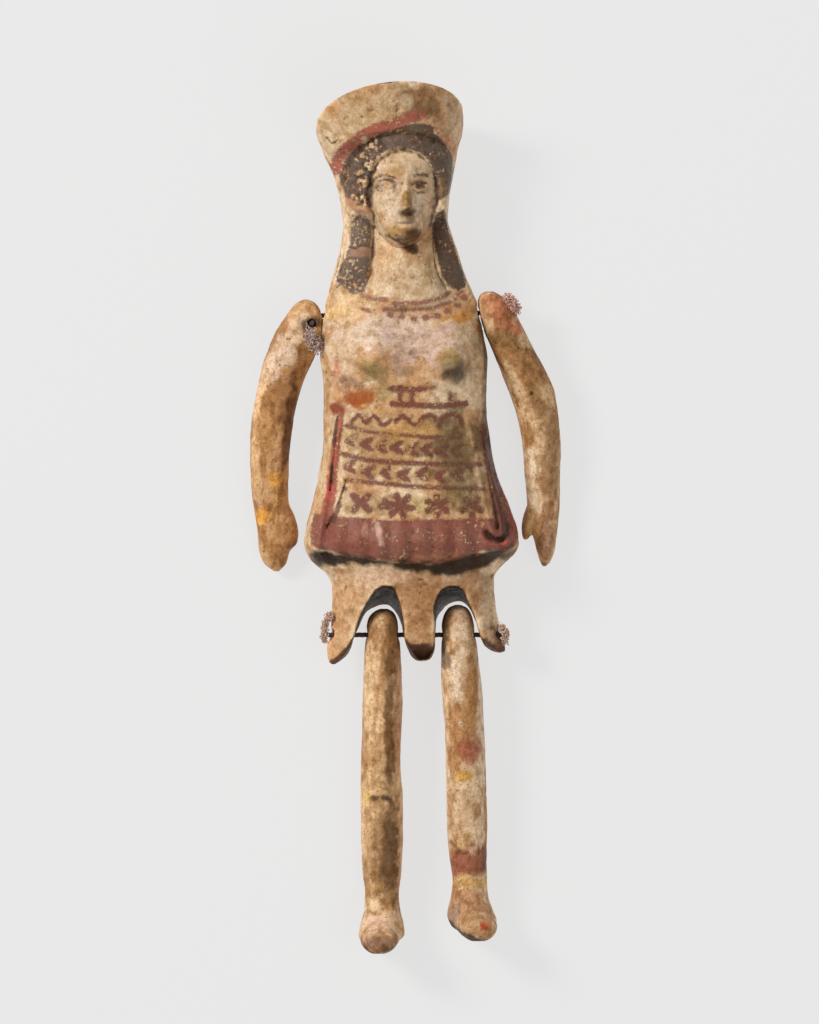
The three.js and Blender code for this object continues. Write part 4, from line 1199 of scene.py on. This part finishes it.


# Stains, painted shade and painted highlights: place and reach in pixels, colour, strength and turn in degrees.
TRUNK_STAINS_AND_PAINTED_LIGHT = [
    ((380, 112), (60, 24), tone(206, 172, 130), 0.9, 10),
    ((345, 125), (24, 16), tone(210, 180, 140), 0.8, 20),
    ((425, 108), (26, 16), tone(130, 96, 62), 0.9, -10),
    ((420, 95), (26, 6), tone(160, 118, 78), 0.8, 0),
    ((405, 101), (9, 8), tone(206, 178, 144), 0.9, 0),
    ((453, 115), (9, 28), tone(196, 166, 132), 0.85, 0),
    ((458, 135), (5, 16), tone(216, 182, 150), 0.8, 0),
    ((376, 140), (3.5, 9), tone(224, 196, 164), 1.0, -12),
    ((367, 146), (4, 8), tone(226, 200, 168), 1.0, -10),
    ((400, 165), (40, 26), tone(214, 184, 148), 0.9, 0),
    ((398, 172), (12, 5), tone(184, 142, 88), 0.7, 0),
    ((381, 168), (9, 6), tone(232, 206, 178), 0.9, 0),
    ((404, 205), (34, 34), tone(210, 184, 154), 0.9, 0),
    ((393, 212), (9, 9), tone(216, 192, 166), 0.9, 0),
    ((424, 212), (9, 16), tone(206, 182, 156), 0.7, 0),
    ((387, 186), (6, 5), tone(196, 156, 108), 0.7, 0),
    ((406, 202), (7, 10), tone(160, 122, 68), 0.95, 0),
    # Painted shadow under the nose.
    ((410, 212), (6, 5), tone(84, 60, 36), 0.8, 0),
    ((411, 218), (5, 5), tone(104, 76, 50), 0.7, 0),
    ((400, 231), (15, 5.5), tone(166, 128, 72), 0.95, -6),
    # Painted shade on the chin's right side, and painted shadow of the jaw on the neck.
    ((412, 236), (9, 6), tone(92, 60, 36), 0.85, 20),
    ((404, 240), (12, 3.5), tone(100, 70, 42), 0.8, -20),
    ((412, 248), (9, 3.5), tone(70, 48, 30), 0.8, -38),
    ((386, 262), (14, 26), tone(218, 176, 132), 0.8, 0),
    ((400, 280), (22, 20), tone(212, 182, 146), 0.8, 0),
    ((425, 268), (8, 24), tone(204, 168, 126), 0.7, 0),
    ((361, 252), (12, 5), tone(176, 132, 104), 1.0, 0),
    ((352, 286), (14, 8), tone(206, 172, 134), 0.6, -20),
    ((347, 240), (3, 44), tone(236, 206, 172), 0.8, 6),
    ((345, 305), (30, 16), tone(230, 194, 150), 0.8, 0),
    ((338, 312), (16, 9), tone(234, 196, 140), 0.8, 10),
    ((420, 311), (38, 9), tone(196, 152, 118), 0.7, 5),
    ((388, 290), (4, 16), tone(234, 210, 178), 0.8, -35),
    ((455, 312), (28, 10), tone(196, 146, 96), 0.8, 15),
    ((462, 318), (10, 5), tone(206, 136, 62), 0.8, 20),
    ((448, 328), (14, 5), tone(222, 190, 150), 0.7, 0),
    ((380, 335), (50, 18), tone(222, 196, 174), 0.9, 0),
    # A painted highlight on the left breast.
    ((368, 349), (5, 3.5), tone(242, 228, 214), 0.8, 0),
    ((425, 345), (46, 22), tone(208, 176, 158), 0.9, 0),
    ((345, 360), (14, 34), tone(216, 184, 152), 0.8, 0),
    # Olive and darker patches round, under and between the breasts.
    ((373, 370), (17, 13), tone(156, 132, 84), 0.9, 20),
    ((386, 392), (10, 14), tone(166, 142, 92), 0.8, -30),
    ((450, 360), (13, 11), tone(170, 138, 84), 0.9, 0),
    ((455, 373), (21, 16), tone(142, 122, 94), 0.6, 10),
    ((457, 376), (14, 11), tone(96, 82, 64), 0.85, 10),
    ((402, 372), (12, 9), tone(150, 124, 100), 0.6, 0),
    ((476, 350), (8, 30), tone(178, 152, 114), 0.6, 0),
    ((352, 384), (18, 9), tone(158, 112, 84), 0.8, -20),
    ((336, 372), (4, 16), tone(214, 136, 108), 0.7, 0),
    ((357, 398), (20, 11), tone(172, 100, 52), 1.0, 12),
    ((353, 400), (15, 8), tone(168, 92, 46), 0.9, 12),
    ((341, 409), (13, 7), tone(152, 78, 54), 0.95, 15),
    ((364, 406), (4, 2.6), tone(230, 176, 100), 0.9, -10),
    ((376, 412), (14, 5), tone(226, 176, 120), 0.8, -20),
    ((392, 418), (12, 4), tone(226, 190, 146), 0.8, 0),
    ((385, 450), (48, 36), tone(186, 148, 102), 0.95, 0),
    ((350, 445), (8, 36), tone(212, 180, 136), 0.8, 0),
    ((450, 445), (30, 38), tone(132, 108, 72), 0.9, 0),
    ((410, 430), (26, 12), tone(204, 160, 100), 0.8, 0),
    ((372, 503), (34, 13), tone(188, 158, 118), 0.9, 0),
    ((425, 505), (16, 14), tone(202, 176, 124), 0.9, 0),
    ((462, 495), (26, 20), tone(164, 136, 94), 0.8, 0),
    ((328, 455), (8, 44), tone(216, 180, 138), 0.9, 6),
    ((318, 505), (8, 26), tone(208, 166, 120), 0.9, 16),
    ((326, 532), (10, 10), tone(190, 110, 64), 0.8, 0),
    ((482, 430), (10, 26), tone(120, 92, 62), 0.7, 0),
    ((430, 590), (60, 24), tone(172, 128, 88), 0.9, 0),
    ((345, 610), (24, 40), tone(206, 162, 118), 0.9, 0),
    ((380, 575), (30, 12), tone(226, 188, 156), 0.85, 0),
    ((422, 605), (12, 36), tone(178, 132, 88), 0.8, 0),
    ((488, 600), (8, 44), tone(200, 172, 140), 0.8, 0),
    ((495, 640), (10, 12), tone(150, 108, 80), 0.7, 0),
    # Painted shade on the slanting end of the middle tab.
    ((423, 651), (12, 9), tone(98, 64, 44), 0.95, 0),
    # Darker below the hem at both ends.
    ((318, 562), (18, 9), tone(92, 80, 56), 0.9, 20),
    ((508, 556), (14, 9), tone(112, 84, 60), 0.8, 0),
]
HEM_SHADOW = [
    (314, 554), (326, 558.5), (339, 559.5), (351, 559.5), (368, 561.5), (389, 563.5), (410, 566), (430, 568),
    (448, 567), (466, 563.5), (484, 559), (500, 552), (513, 545.5),
]
HOOK_END = [(487, 531), (491, 537), (499, 539.5), (506, 535), (508, 524)]
# Strokes over ground and paint: painted shadows and shade, pale and olive stains, rubbed streaks and red paint.
# Columns: pixels, width, colour, strength, softness.
TRUNK_SHADES = [
    # Painted shadow under the hem, and painted shadow of the jaw on the neck.
    (HEM_SHADOW, (5, 12, 13, 6, 5, 5, 8, 11, 14, 16, 14, 9, 4), tone(44, 30, 22), 0.95, 0.5),
    ([(389, 236), (396, 240.5), (403, 244.5), (410, 249), (416, 253)], (3, 4, 6, 8, 7), tone(76, 52, 34), 0.92, 0.35),
    ([(365, 139), (367, 149)], 4, tone(222, 194, 160), 0.9, 0.3),
    ([(374.5, 137), (377.5, 151)], 3.4, tone(224, 196, 164), 0.95, 0.3),
    ([(384, 151), (395, 148.5), (408, 148.5)], 2.6, tone(150, 122, 84), 0.6, 0.4),
    ([(412, 131), (422, 133), (432, 139)], 4, tone(122, 104, 74), 0.55, 0.6),
    ([(400, 137), (391, 141)], 3, tone(128, 106, 80), 0.6, 0.5),
    ([(434, 148), (444, 160)], 4, tone(110, 98, 80), 0.5, 0.6),
    ([(449, 158), (451, 178)], 5, tone(122, 116, 100), 0.6, 0.6),
    # Painted shade under the nose, down the nose's right side, on the chin's right side, between face and hair, and
    # down the trunk's right flank.
    ([(405, 214), (411, 215)], 7, tone(96, 68, 44), 0.8, 0.4),
    ([(410.5, 194), (412, 207)], 4, tone(134, 100, 62), 0.7, 0.3),
    ([(407, 234), (415, 233)], 7, tone(92, 62, 38), 0.8, 0.4),
    ([(372, 182), (371, 197), (369, 208)], 4, tone(50, 36, 30), 0.8, 0.3),
    ([(481, 320), (486, 346), (486.5, 380), (486, 410), (488, 440)], 6.5, tone(88, 68, 50), 0.82, 0.5),
    ([(452, 432), (462, 460), (468, 492)], 34, tone(98, 78, 52), 0.5, 2.4),
    # Painted shade in the valley between the folds.
    ([(484, 430), (489, 455), (495, 485), (501, 510), (503, 530)], (3, 9), tone(78, 40, 36), 0.85, 0.35),
    ([(506, 494), (512, 516), (513, 532)], 5, tone(158, 78, 68), 0.75, 0.3),
    # Painted shadow in the curl of the hook.
    (HOOK_END, 4, tone(36, 22, 20), 0.95, 0.25),
    ([(489, 543), (500, 547), (509, 541)], 4, tone(156, 80, 68), 0.75, 0.3),
    # Painted shade on the slanting end of the middle tab.
    ([(411, 653), (434, 653)], 17, tone(86, 57, 40), 0.94, 0.3),
    ([(337, 417), (334, 440), (333, 463), (330, 492)], 1.6, tone(62, 42, 36), 0.8, 0.15),
    ([(344, 488), (340, 503), (333, 522)], 2.6, tone(80, 40, 36), 0.8, 0.2),
    ([(331, 486), (330, 497)], 3.6, tone(200, 84, 76), 0.75, 0.3),
    ([(366, 524), (364, 541)], 2.4, tone(206, 150, 130), 0.7, 0.25),
    ([(378, 523), (381, 544)], 2.6, tone(222, 180, 160), 0.8, 0.25),
    ([(391, 526), (393, 541)], 1.8, tone(190, 130, 112), 0.7, 0.25),
    ([(494, 628), (499, 640), (498, 650)], 7, tone(112, 78, 54), 0.8, 0.4),
    ([(354, 252.5), (370, 252.5)], 8, tone(186, 144, 116), 0.85, 0.3),
    ([(440, 180), (446, 186), (441, 194)], 6, tone(144, 116, 78), 0.8, 0.35),
    ([(350, 204), (360, 209), (370, 211)], 7, tone(196, 148, 110), 0.8, 0.35),
    ([(418, 556), (440, 557), (462, 553)], 4, tone(176, 128, 84), 0.6, 0.5),
]


def colour_trunk(coat):
    coat.clays(CREAM, TAN, 4, 31)
    for k, (place, size, colour, strength, turn) in enumerate(TRUNK_STAINS_AND_PAINTED_LIGHT):
        coat.stain_and_painted_light(place, size, colour, strength, turn, seed=40 + k)
    # Painted shade on the walls of the slots, darkest near the front, and on the ends of the tabs below them.
    for slot in (LEFT_SLOT, RIGHT_SLOT):
        inside = area_distance(coat.xy, slot_outline(slot, "front"))
        wall = step(-0.15, 0.05, inside)[:, None]
        shade = mix(tone(92, 66, 50), tone(22, 13, 10), step(0.8, 6, coat.v[:, 2])[:, None])
        shade = mix(tone(84, 57, 40), shade, step(-17, -14.5, coat.v[:, 1])[:, None])
        coat.ground = mix(coat.ground, shade, 0.97 * wall)
    back = step(0.1, -0.3, coat.n[:, 2])[:, None]
    coat.ground = mix(coat.ground, mix(BUFF, TAN, clouds(coat.v, 4, 91)[:, None]), back)
    paint_head(coat)
    paint_apron(coat)
    coat.split([(350, 246), (358, 247), (366, 246), (373, 247)], 0.16)
    coat.split([(327, 137), (332, 142), (336, 142)], 0.16)
    coat.split([(395, 98), (393, 103)], 0.14)
    for points, width, colour, strength, soft in TRUNK_SHADES:
        coat.shade(points, width, colour, strength, soft)
    glossy = [((407, 205), 9), ((402, 232), 13), ((369, 350), 30), ((452, 365), 26)]
    shine = 0.2 + 0.3 * step(0.55, 0.8, clouds(coat.v, 6, 92))
    for (x, y), reach in glossy:
        away = np.linalg.norm(coat.xy - np.array(spot(x, y)), axis=1)
        shine = np.maximum(shine, 0.9 * step(1.3, 0.5, away / (reach * PIXEL)))
    coat.gloss = shine + 0.25 * (coat.cover > 0)


def middle_tab_end():
    """Cuts the middle tab of the skirt off straight."""
    low, high = MIDDLE_TAB_BOX
    corners = [(x, y, z) for z in (low[2], high[2]) for y in (low[1], high[1]) for x in (low[0], high[0])]
    faces = [(0, 2, 3, 1), (4, 5, 7, 6), (0, 1, 5, 4), (2, 6, 7, 3), (0, 4, 6, 2), (1, 3, 7, 5)]
    return mesh_object("tab_end", corners, faces)


def wants_detail(centre, normal):
    return normal.z > 0.25 and any(low < centre.y < high for low, high in DETAILED)


def make_trunk():
    obj = trunk_skin()
    for slot in (LEFT_SLOT, RIGHT_SLOT):
        combined(obj, slot_cutter(slot), "DIFFERENCE")
    for cutter in (middle_tab_end(), shoulder_bore(), leg_bore(), shoulder_chip()):
        combined(obj, cutter, "DIFFERENCE")
    refined(obj, TRUNK_VOXEL, 2)
    x, y, _ = coordinates(obj.data).T
    softened(obj, step(TRUNK_TOP - 2.2, TRUNK_TOP - 0.8, y - ROW_LEAN(TRUNK_TOP) * (x + 2.2) / 10), 12)
    densified(obj, wants_detail)
    finish_form(obj, trunk_relief)
    v = coordinates(obj.data)
    v[:, 1] = np.minimum(v[:, 1], rim_line(v[:, 0]))
    set_coordinates(obj.data, v)
    coat = Coat(obj.data)
    colour_trunk(coat)
    coat.store(obj.data)
    return finished(obj, "trunk_body", "trunk", clay_material("painted_clay", 0.5, 0.35, 0.55, 0.8))


# Colours of the limbs

LIMB_CLAYS = {
    "left_arm": (tone(208, 162, 114), tone(170, 122, 76)),
    "right_arm": (tone(210, 172, 130), tone(170, 124, 80)),
    "left_leg": (tone(222, 184, 138), tone(186, 142, 96)),
    "right_leg": (tone(224, 192, 154), tone(186, 138, 92)),
}
LIMB_STAINS_AND_PAINTED_LIGHT = {
    "left_arm": [
        ((300, 312), (16, 14), tone(226, 182, 132), 0.8, 0),
        # Painted highlights along the left edge of the arm.
        ((265, 378), (5, 36), tone(234, 194, 150), 0.85, -20),
        ((256, 425), (5, 50), tone(236, 194, 148), 0.9, 0),
        ((257, 480), (4, 34), tone(226, 184, 138), 0.8, 6),
        ((282, 356), (34, 13), tone(226, 194, 164), 0.9, 62),
        ((299, 322), (13, 9), tone(224, 190, 160), 0.85, 30),
        ((285, 371), (8, 6), tone(186, 134, 76), 0.8, 60),
        ((289, 426), (46, 8), tone(106, 72, 46), 0.88, 81),
        ((266, 430), (11, 32), tone(188, 138, 86), 0.7, 0),
        ((262, 490), (11, 14), tone(212, 168, 124), 0.8, 0),
        ((276, 481), (7, 7), tone(222, 160, 78), 0.9, 0),
        ((262, 516), (8, 8), tone(224, 158, 72), 0.9, 0),
        ((282, 545), (14, 20), tone(188, 138, 90), 0.7, 0),
    ],
    "right_arm": [
        ((495, 304), (14, 13), tone(200, 134, 96), 0.95, 0),
        ((503, 317), (12, 10), tone(166, 100, 70), 0.7, 20),
        ((517, 327), (9, 9), tone(190, 120, 86), 0.9, 0),
        ((504, 340), (15, 9), tone(138, 102, 64), 0.9, -20),
        ((521, 362), (14, 12), tone(160, 118, 76), 0.75, -30),
        ((527, 343), (8, 6), tone(204, 174, 136), 0.9, -30),
        ((536, 398), (36, 9), tone(150, 108, 66), 0.85, -76),
        ((514, 380), (30, 5), tone(216, 184, 146), 0.8, -66),
        ((552, 455), (10, 46), tone(166, 126, 88), 0.85, 0),
        ((534, 480), (9, 34), tone(236, 208, 174), 0.9, 0),
        ((532, 524), (10, 14), tone(202, 156, 104), 0.9, 15),
        ((548, 538), (9, 28), tone(186, 144, 112), 0.8, 0),
        ((531.7, 392.6), (2, 2), tone(70, 48, 34), 1.0, 0),
    ],
    "left_leg": [
        ((375, 634), (8, 18), tone(166, 118, 78), 0.9, 0),
        ((391, 642), (7, 42), tone(152, 108, 66), 0.8, 0),
        ((389, 724), (5, 92), tone(118, 84, 50), 0.85, 0),
        ((369, 700), (6, 56), tone(230, 196, 152), 0.85, 0),
        ((398, 710), (4, 80), tone(192, 148, 112), 0.8, 0),
        ((366, 798), (8, 5), tone(226, 190, 118), 0.95, 0),
        ((380, 848), (19, 54), tone(152, 112, 74), 0.8, 0),
        ((389, 852), (9, 56), tone(106, 76, 48), 0.85, 0),
        ((367, 838), (4, 34), tone(206, 166, 120), 0.75, 0),
        ((362, 850), (3, 70), tone(226, 190, 150), 0.8, 0),
        ((402, 850), (3, 60), tone(212, 174, 134), 0.75, 0),
        ((372, 906), (16, 6), tone(230, 196, 152), 0.8, 0),
        ((378, 925), (18, 14), tone(226, 190, 160), 0.9, 0),
        ((375, 943), (18, 8), tone(152, 114, 92), 0.9, 0),
    ],
    "right_leg": [
        ((462, 612), (12, 10), tone(208, 174, 144), 0.85, 0),
        ((446, 730), (4, 110), tone(232, 198, 158), 0.8, 0),
        ((458, 668), (7, 52), tone(228, 202, 172), 0.9, 0),
        ((472, 690), (6, 62), tone(176, 126, 76), 0.85, 0),
        ((482, 690), (4, 90), tone(216, 190, 164), 0.8, 0),
        ((469, 752), (12, 13), tone(168, 100, 74), 0.95, 0),
        ((464, 776), (12, 6), tone(214, 164, 84), 0.95, 0),
        ((463, 812), (15, 30), tone(204, 168, 130), 0.9, 0),
        ((455, 822), (4, 22), tone(222, 192, 158), 0.7, 0),
        ((469, 860), (28, 18), tone(158, 98, 72), 1.0, 0),
        ((464, 842), (9, 9), tone(206, 168, 122), 0.95, 0),
        ((485, 862), (6, 13), tone(120, 84, 66), 0.8, 0),
        ((472, 883), (22, 8), tone(208, 164, 104), 0.95, 0),
        ((470, 905), (22, 16), tone(190, 146, 108), 0.9, 0),
        ((474, 925), (22, 13), tone(196, 154, 112), 0.9, 0),
        ((453, 918), (6, 14), tone(166, 134, 116), 0.8, 0),
        ((484, 927), (6, 5), tone(190, 96, 60), 1.0, 0),
    ],
}
# Painted shade and shadow: round the hole in the left shoulder, at the thumbs, on the top of the left leg and the
# left side of the right leg where the tabs of the skirt throw shadow, and along the feet's lower edges. The thin
# strokes are dark lines. Columns: pixels, width, colour, strength, softness.
LIMB_SHADES = {
    "left_arm": [
        ([(306, 324), (317, 322)], 9, tone(78, 60, 52), 0.85, 0.4),
        ([(288, 547), (293, 545)], 3, tone(80, 54, 38), 0.8, 0.3),
    ],
    "right_arm": [
        ([(541, 562), (545, 565)], 4, tone(80, 56, 42), 0.8, 0.3),
        ([(512, 340), (520, 348), (534, 351), (541, 362)], 1.6, tone(96, 66, 44), 0.8, 0.2),
    ],
    "left_leg": [
        ([(367, 622), (369, 613), (376, 607), (386, 607)], 5, tone(86, 60, 44), 0.8, 0.3),
        ([(362, 949), (376, 954), (392, 948)], 4, tone(92, 66, 50), 0.85, 0.3),
        ([(372, 798), (381, 797), (392, 799.5)], 1.6, tone(76, 52, 38), 0.85, 0.2),
    ],
    "right_leg": [
        ([(448, 603), (443, 614), (441, 632), (442, 652), (445, 664)], 9, tone(80, 52, 38), 0.7, 0.35),
        ([(449, 923), (461, 933), (473, 940), (491, 942)], 5, tone(70, 50, 40), 0.9, 0.3),
        ([(452, 842), (458, 850), (464, 853), (471, 850), (475, 841)], 1.8, tone(110, 70, 48), 0.8, 0.2),
    ],
}
# Yellow glue and pale roots in raised lines.
LIMB_LINES = {
    "left_arm": [
        ([(286, 473), (278, 486), (276, 502), (268, 519), (259, 524)], tone(236, 182, 96)),
        ([(276, 502), (286.6, 496)], tone(236, 182, 96)),
    ],
    "right_leg": [
        ([(456, 881), (466, 876), (478, 878), (487, 875)], tone(236, 208, 160)),
        ([(457, 890), (468, 887), (480, 891)], tone(236, 208, 160)),
    ],
}
ROUGH = {"left_arm": ((285, 350), 24), "right_arm": ((500, 325), 18)}  # crusted places, in pixels


def colour_limb(coat, name, seed):
    first, second = LIMB_CLAYS[name]
    coat.clays(first, second, 2.6, seed, 0.4, 0.62, stretch=0.4)
    for k, (place, size, colour, strength, turn) in enumerate(LIMB_STAINS_AND_PAINTED_LIGHT[name]):
        coat.stain_and_painted_light(place, size, colour, strength, turn, seed=seed + k)
    for points, width, colour, strength, soft in LIMB_SHADES[name]:
        coat.shade(points, width, colour, strength, soft)
    for points, colour in LIMB_LINES.get(name, []):
        coat.stroke(points, 1.5, colour, 0.8)
    coat.gloss = 0.25 + 0.5 * step(0.55, 0.8, clouds(coat.v, 4, seed + 20))


def make_limb(name, limb, material, seed):
    obj = limb_skin(limb)
    if "foot" in limb:
        combined(obj, foot_skin(*limb["foot"]), "UNION")
        combined(obj, leg_bore(), "DIFFERENCE")
    else:
        combined(obj, thumb_skin(*limb["thumb"]), "UNION")
        v = coordinates(obj.data)
        set_coordinates(obj.data, v + [limb["outward"] * LIMB_GAP, 0, 0])
        path = arm_cord_path()
        path = np.vstack([path[0] + [0, 0, 2], path, path[-1] + [2, 1.2, 0]])
        combined(obj, bore(path, ARM_BORE_DIAMETER), "DIFFERENCE")
    refined(obj, LIMB_VOXEL, 3)
    depth = 0.55
    if name in ROUGH:
        place, reach = ROUGH[name]
        away = np.linalg.norm(coordinates(obj.data)[:, :2] - np.array(spot(*place)), axis=1)
        depth = depth + 1.3 * bell(away, reach * PIXEL)
    finish_form(obj, depth=depth)
    coat = Coat(obj.data)
    colour_limb(coat, name, seed)
    coat.store(obj.data)
    return finished(obj, name + "_form", name, material)


# Cords: three strands twisted together, with frayed ends

THREAD = tone(74, 46, 40)
GREY_FUZZ = tone(220, 192, 178)
PINK_FUZZ = tone(244, 190, 172)
BEIGE_FUZZ = tone(228, 192, 166)


def thread_rings(path, sides=18):
    path = np.array(path)
    run = np.concatenate([[0], np.cumsum(np.linalg.norm(np.diff(path, axis=0), axis=1))])
    angle = np.arange(sides) * 2 * math.pi / sides
    lobes = np.abs(np.cos(1.5 * (angle[None, :] - run[:, None] * 2 * math.pi / THREAD_PITCH)))
    return tube_rings(path, CORD_DIAMETER / 2 * (0.78 + 0.22 * lobes), sides)[:, ::-1]


def fuzz(pixels, height, reach, length, count, seed):
    """Short curled fibres that cling round a line of pixels. `height` is that of its two ends."""
    rng = np.random.default_rng(seed)
    line = catmull(spots(pixels), 6)
    line = np.column_stack([line, np.linspace(*height, len(line))])
    t = np.linspace(0, 1, 8)[:, None]
    parts = []
    for _ in range(count):
        start = line[rng.integers(len(line))] + rng.normal(0, reach, 3)
        ahead, aside = rng.normal(0, 1, (2, 3))
        ahead /= np.linalg.norm(ahead)
        aside -= ahead * (aside @ ahead)
        aside /= np.linalg.norm(aside)
        turn = rng.uniform(1.5, 5) * t
        radius = length * rng.uniform(0.5, 1.1) / 3
        curl = start + radius * (np.sin(turn) * ahead + (1 - np.cos(turn)) * aside)
        parts.append(tube_rings(curl, rng.uniform(0.045, 0.08), 5)[:, ::-1])
    return parts


def ring_mesh(name, parts, colours):
    """One object from several tubes, each with its colour."""
    vertices, faces, tints = [], [], []
    for rings, colour in zip(parts, colours):
        base = len(vertices)
        count, columns = rings.shape[:2]
        vertices.extend(rings.reshape(-1, 3).tolist())
        tints.extend([colour] * (count * columns))
        for j in range(count - 1):
            for i in range(columns):
                after = (i + 1) % columns
                faces.append([base + j * columns + i, base + (j + 1) * columns + i,
                              base + (j + 1) * columns + after, base + j * columns + after])
        faces.append([base + i for i in range(columns)])
        faces.append([base + (count - 1) * columns + i for i in reversed(range(columns))])
    obj = mesh_object(name, vertices, faces)
    attribute = obj.data.attributes.new("ground", "FLOAT_COLOR", "POINT")
    attribute.data.foreach_set("color", np.column_stack([np.array(tints), np.ones(len(tints))]).ravel())
    return obj


def make_cord(name, path, tufts, material):
    parts, colours = [thread_rings(path)], [THREAD]
    rng = np.random.default_rng(5)
    for fibres, colour in tufts:
        parts.extend(fibres)
        colours.extend(mix(colour, THREAD, rng.uniform(-0.1, 0.35)) for _ in fibres)
    obj = ring_mesh(name + "_thread", parts, colours)
    set_coordinates(obj.data, coordinates(obj.data) * MM)
    obj.data.shade_smooth()
    obj.data.materials.append(material)
    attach(obj, "root")
    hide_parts(name)
    return obj


def make_cords():
    material = cord_material()
    arm_tufts = [
        (fuzz([(309, 332), (312, 340), (317, 346)], (7.2, 6.0), 0.38, 0.9, 520, 1), GREY_FUZZ),
        (fuzz([(508, 300), (512, 304), (514, 309)], (6.2, 5.2), 0.34, 0.8, 560, 2), PINK_FUZZ),
    ]
    make_cord("arm_cord", arm_cord_path(), arm_tufts, material)
    start, end = leg_cord_ends()
    path = mix(start, end, np.linspace(0, 1, 130)[:, None])
    leg_tufts = [
        (fuzz([(330, 615), (325, 625), (324, 640)], (6.0, 5.0), 0.16, 0.7, 380, 3), BEIGE_FUZZ),
        (fuzz([(501, 627), (506, 634), (504, 642)], (6.0, 5.0), 0.16, 0.7, 340, 4), BEIGE_FUZZ),
    ]
    make_cord("leg_cord", path, leg_tufts, material)


# The studio

LENS = 900.0
SENSOR = 36.0
PICTURE = (819, 1024)
REFERENCE_HEIGHT = 8.0  # millimetres above the floor, where the photograph's scale holds
FLOOR_GREY, FLOOR_GLOW = 0.13, 0.68  # together they give the photograph's pale background
ROOM_LIGHT = 0.4


def make_camera():
    data = bpy.data.cameras.new("camera")
    data.lens = LENS
    data.sensor_fit = "VERTICAL"
    data.sensor_height = SENSOR
    camera = bpy.data.objects.new("camera", data)
    bpy.context.collection.objects.link(camera)
    distance = LENS / SENSOR * PICTURE[1] * PIXEL + REFERENCE_HEIGHT
    centre = spot(PICTURE[0] / 2, PICTURE[1] / 2)
    camera.location = (centre[0] * MM, centre[1] * MM, distance * MM)
    camera.rotation_euler = (0, 0, 0)
    bpy.context.scene.camera = camera


def area_light(name, place, size, watts, colour):
    data = bpy.data.lights.new(name, "AREA")
    data.shape = "DISK"
    data.size = size
    data.energy = watts
    data.color = colour
    light = bpy.data.objects.new(name, data)
    light.location = place
    light.rotation_euler = (-Vector(place)).to_track_quat("-Z", "Y").to_euler()
    bpy.context.collection.objects.link(light)


def make_studio():
    t = Tree("pale_floor")
    t.shader.inputs["Base Color"].default_value = (FLOOR_GREY, FLOOR_GREY, FLOOR_GREY, 1)
    t.shader.inputs["Roughness"].default_value = 0.9
    t.shader.inputs["Specular IOR Level"].default_value = 0.1
    t.shader.inputs["Emission Color"].default_value = (1, 1, 1, 1)
    t.shader.inputs["Emission Strength"].default_value = FLOOR_GLOW
    floor = mesh_object("floor", [(-3, -3, 0), (3, -3, 0), (3, 3, 0), (-3, 3, 0)], [(0, 1, 2, 3)])
    floor.data.materials.append(t.material)
    area_light("key", (-0.68, 0.42, 0.62), 0.32, 7.7, (1, 0.985, 0.96))
    area_light("fill", (0.6, -0.3, 0.9), 0.9, 2.6, (1, 1, 1))
    world = bpy.data.worlds.new("studio")
    world.use_nodes = True
    world.node_tree.nodes["Background"].inputs["Color"].default_value = (1, 1, 1, 1)
    world.node_tree.nodes["Background"].inputs["Strength"].default_value = ROOM_LIGHT
    bpy.context.scene.world = world
    bpy.context.scene.view_settings.view_transform = "Standard"


make_camera()
make_cords()
make_trunk()
limb_material = clay_material("bare_clay", 0.55, 0.6, 0.9, 0.5)
for name, limb, seed in (
    ("left_arm", LEFT_ARM, 201),
    ("right_arm", RIGHT_ARM, 231),
    ("left_leg", LEFT_LEG, 261),
    ("right_leg", RIGHT_LEG, 291),
):
    make_limb(name, limb, limb_material, seed)
make_studio()
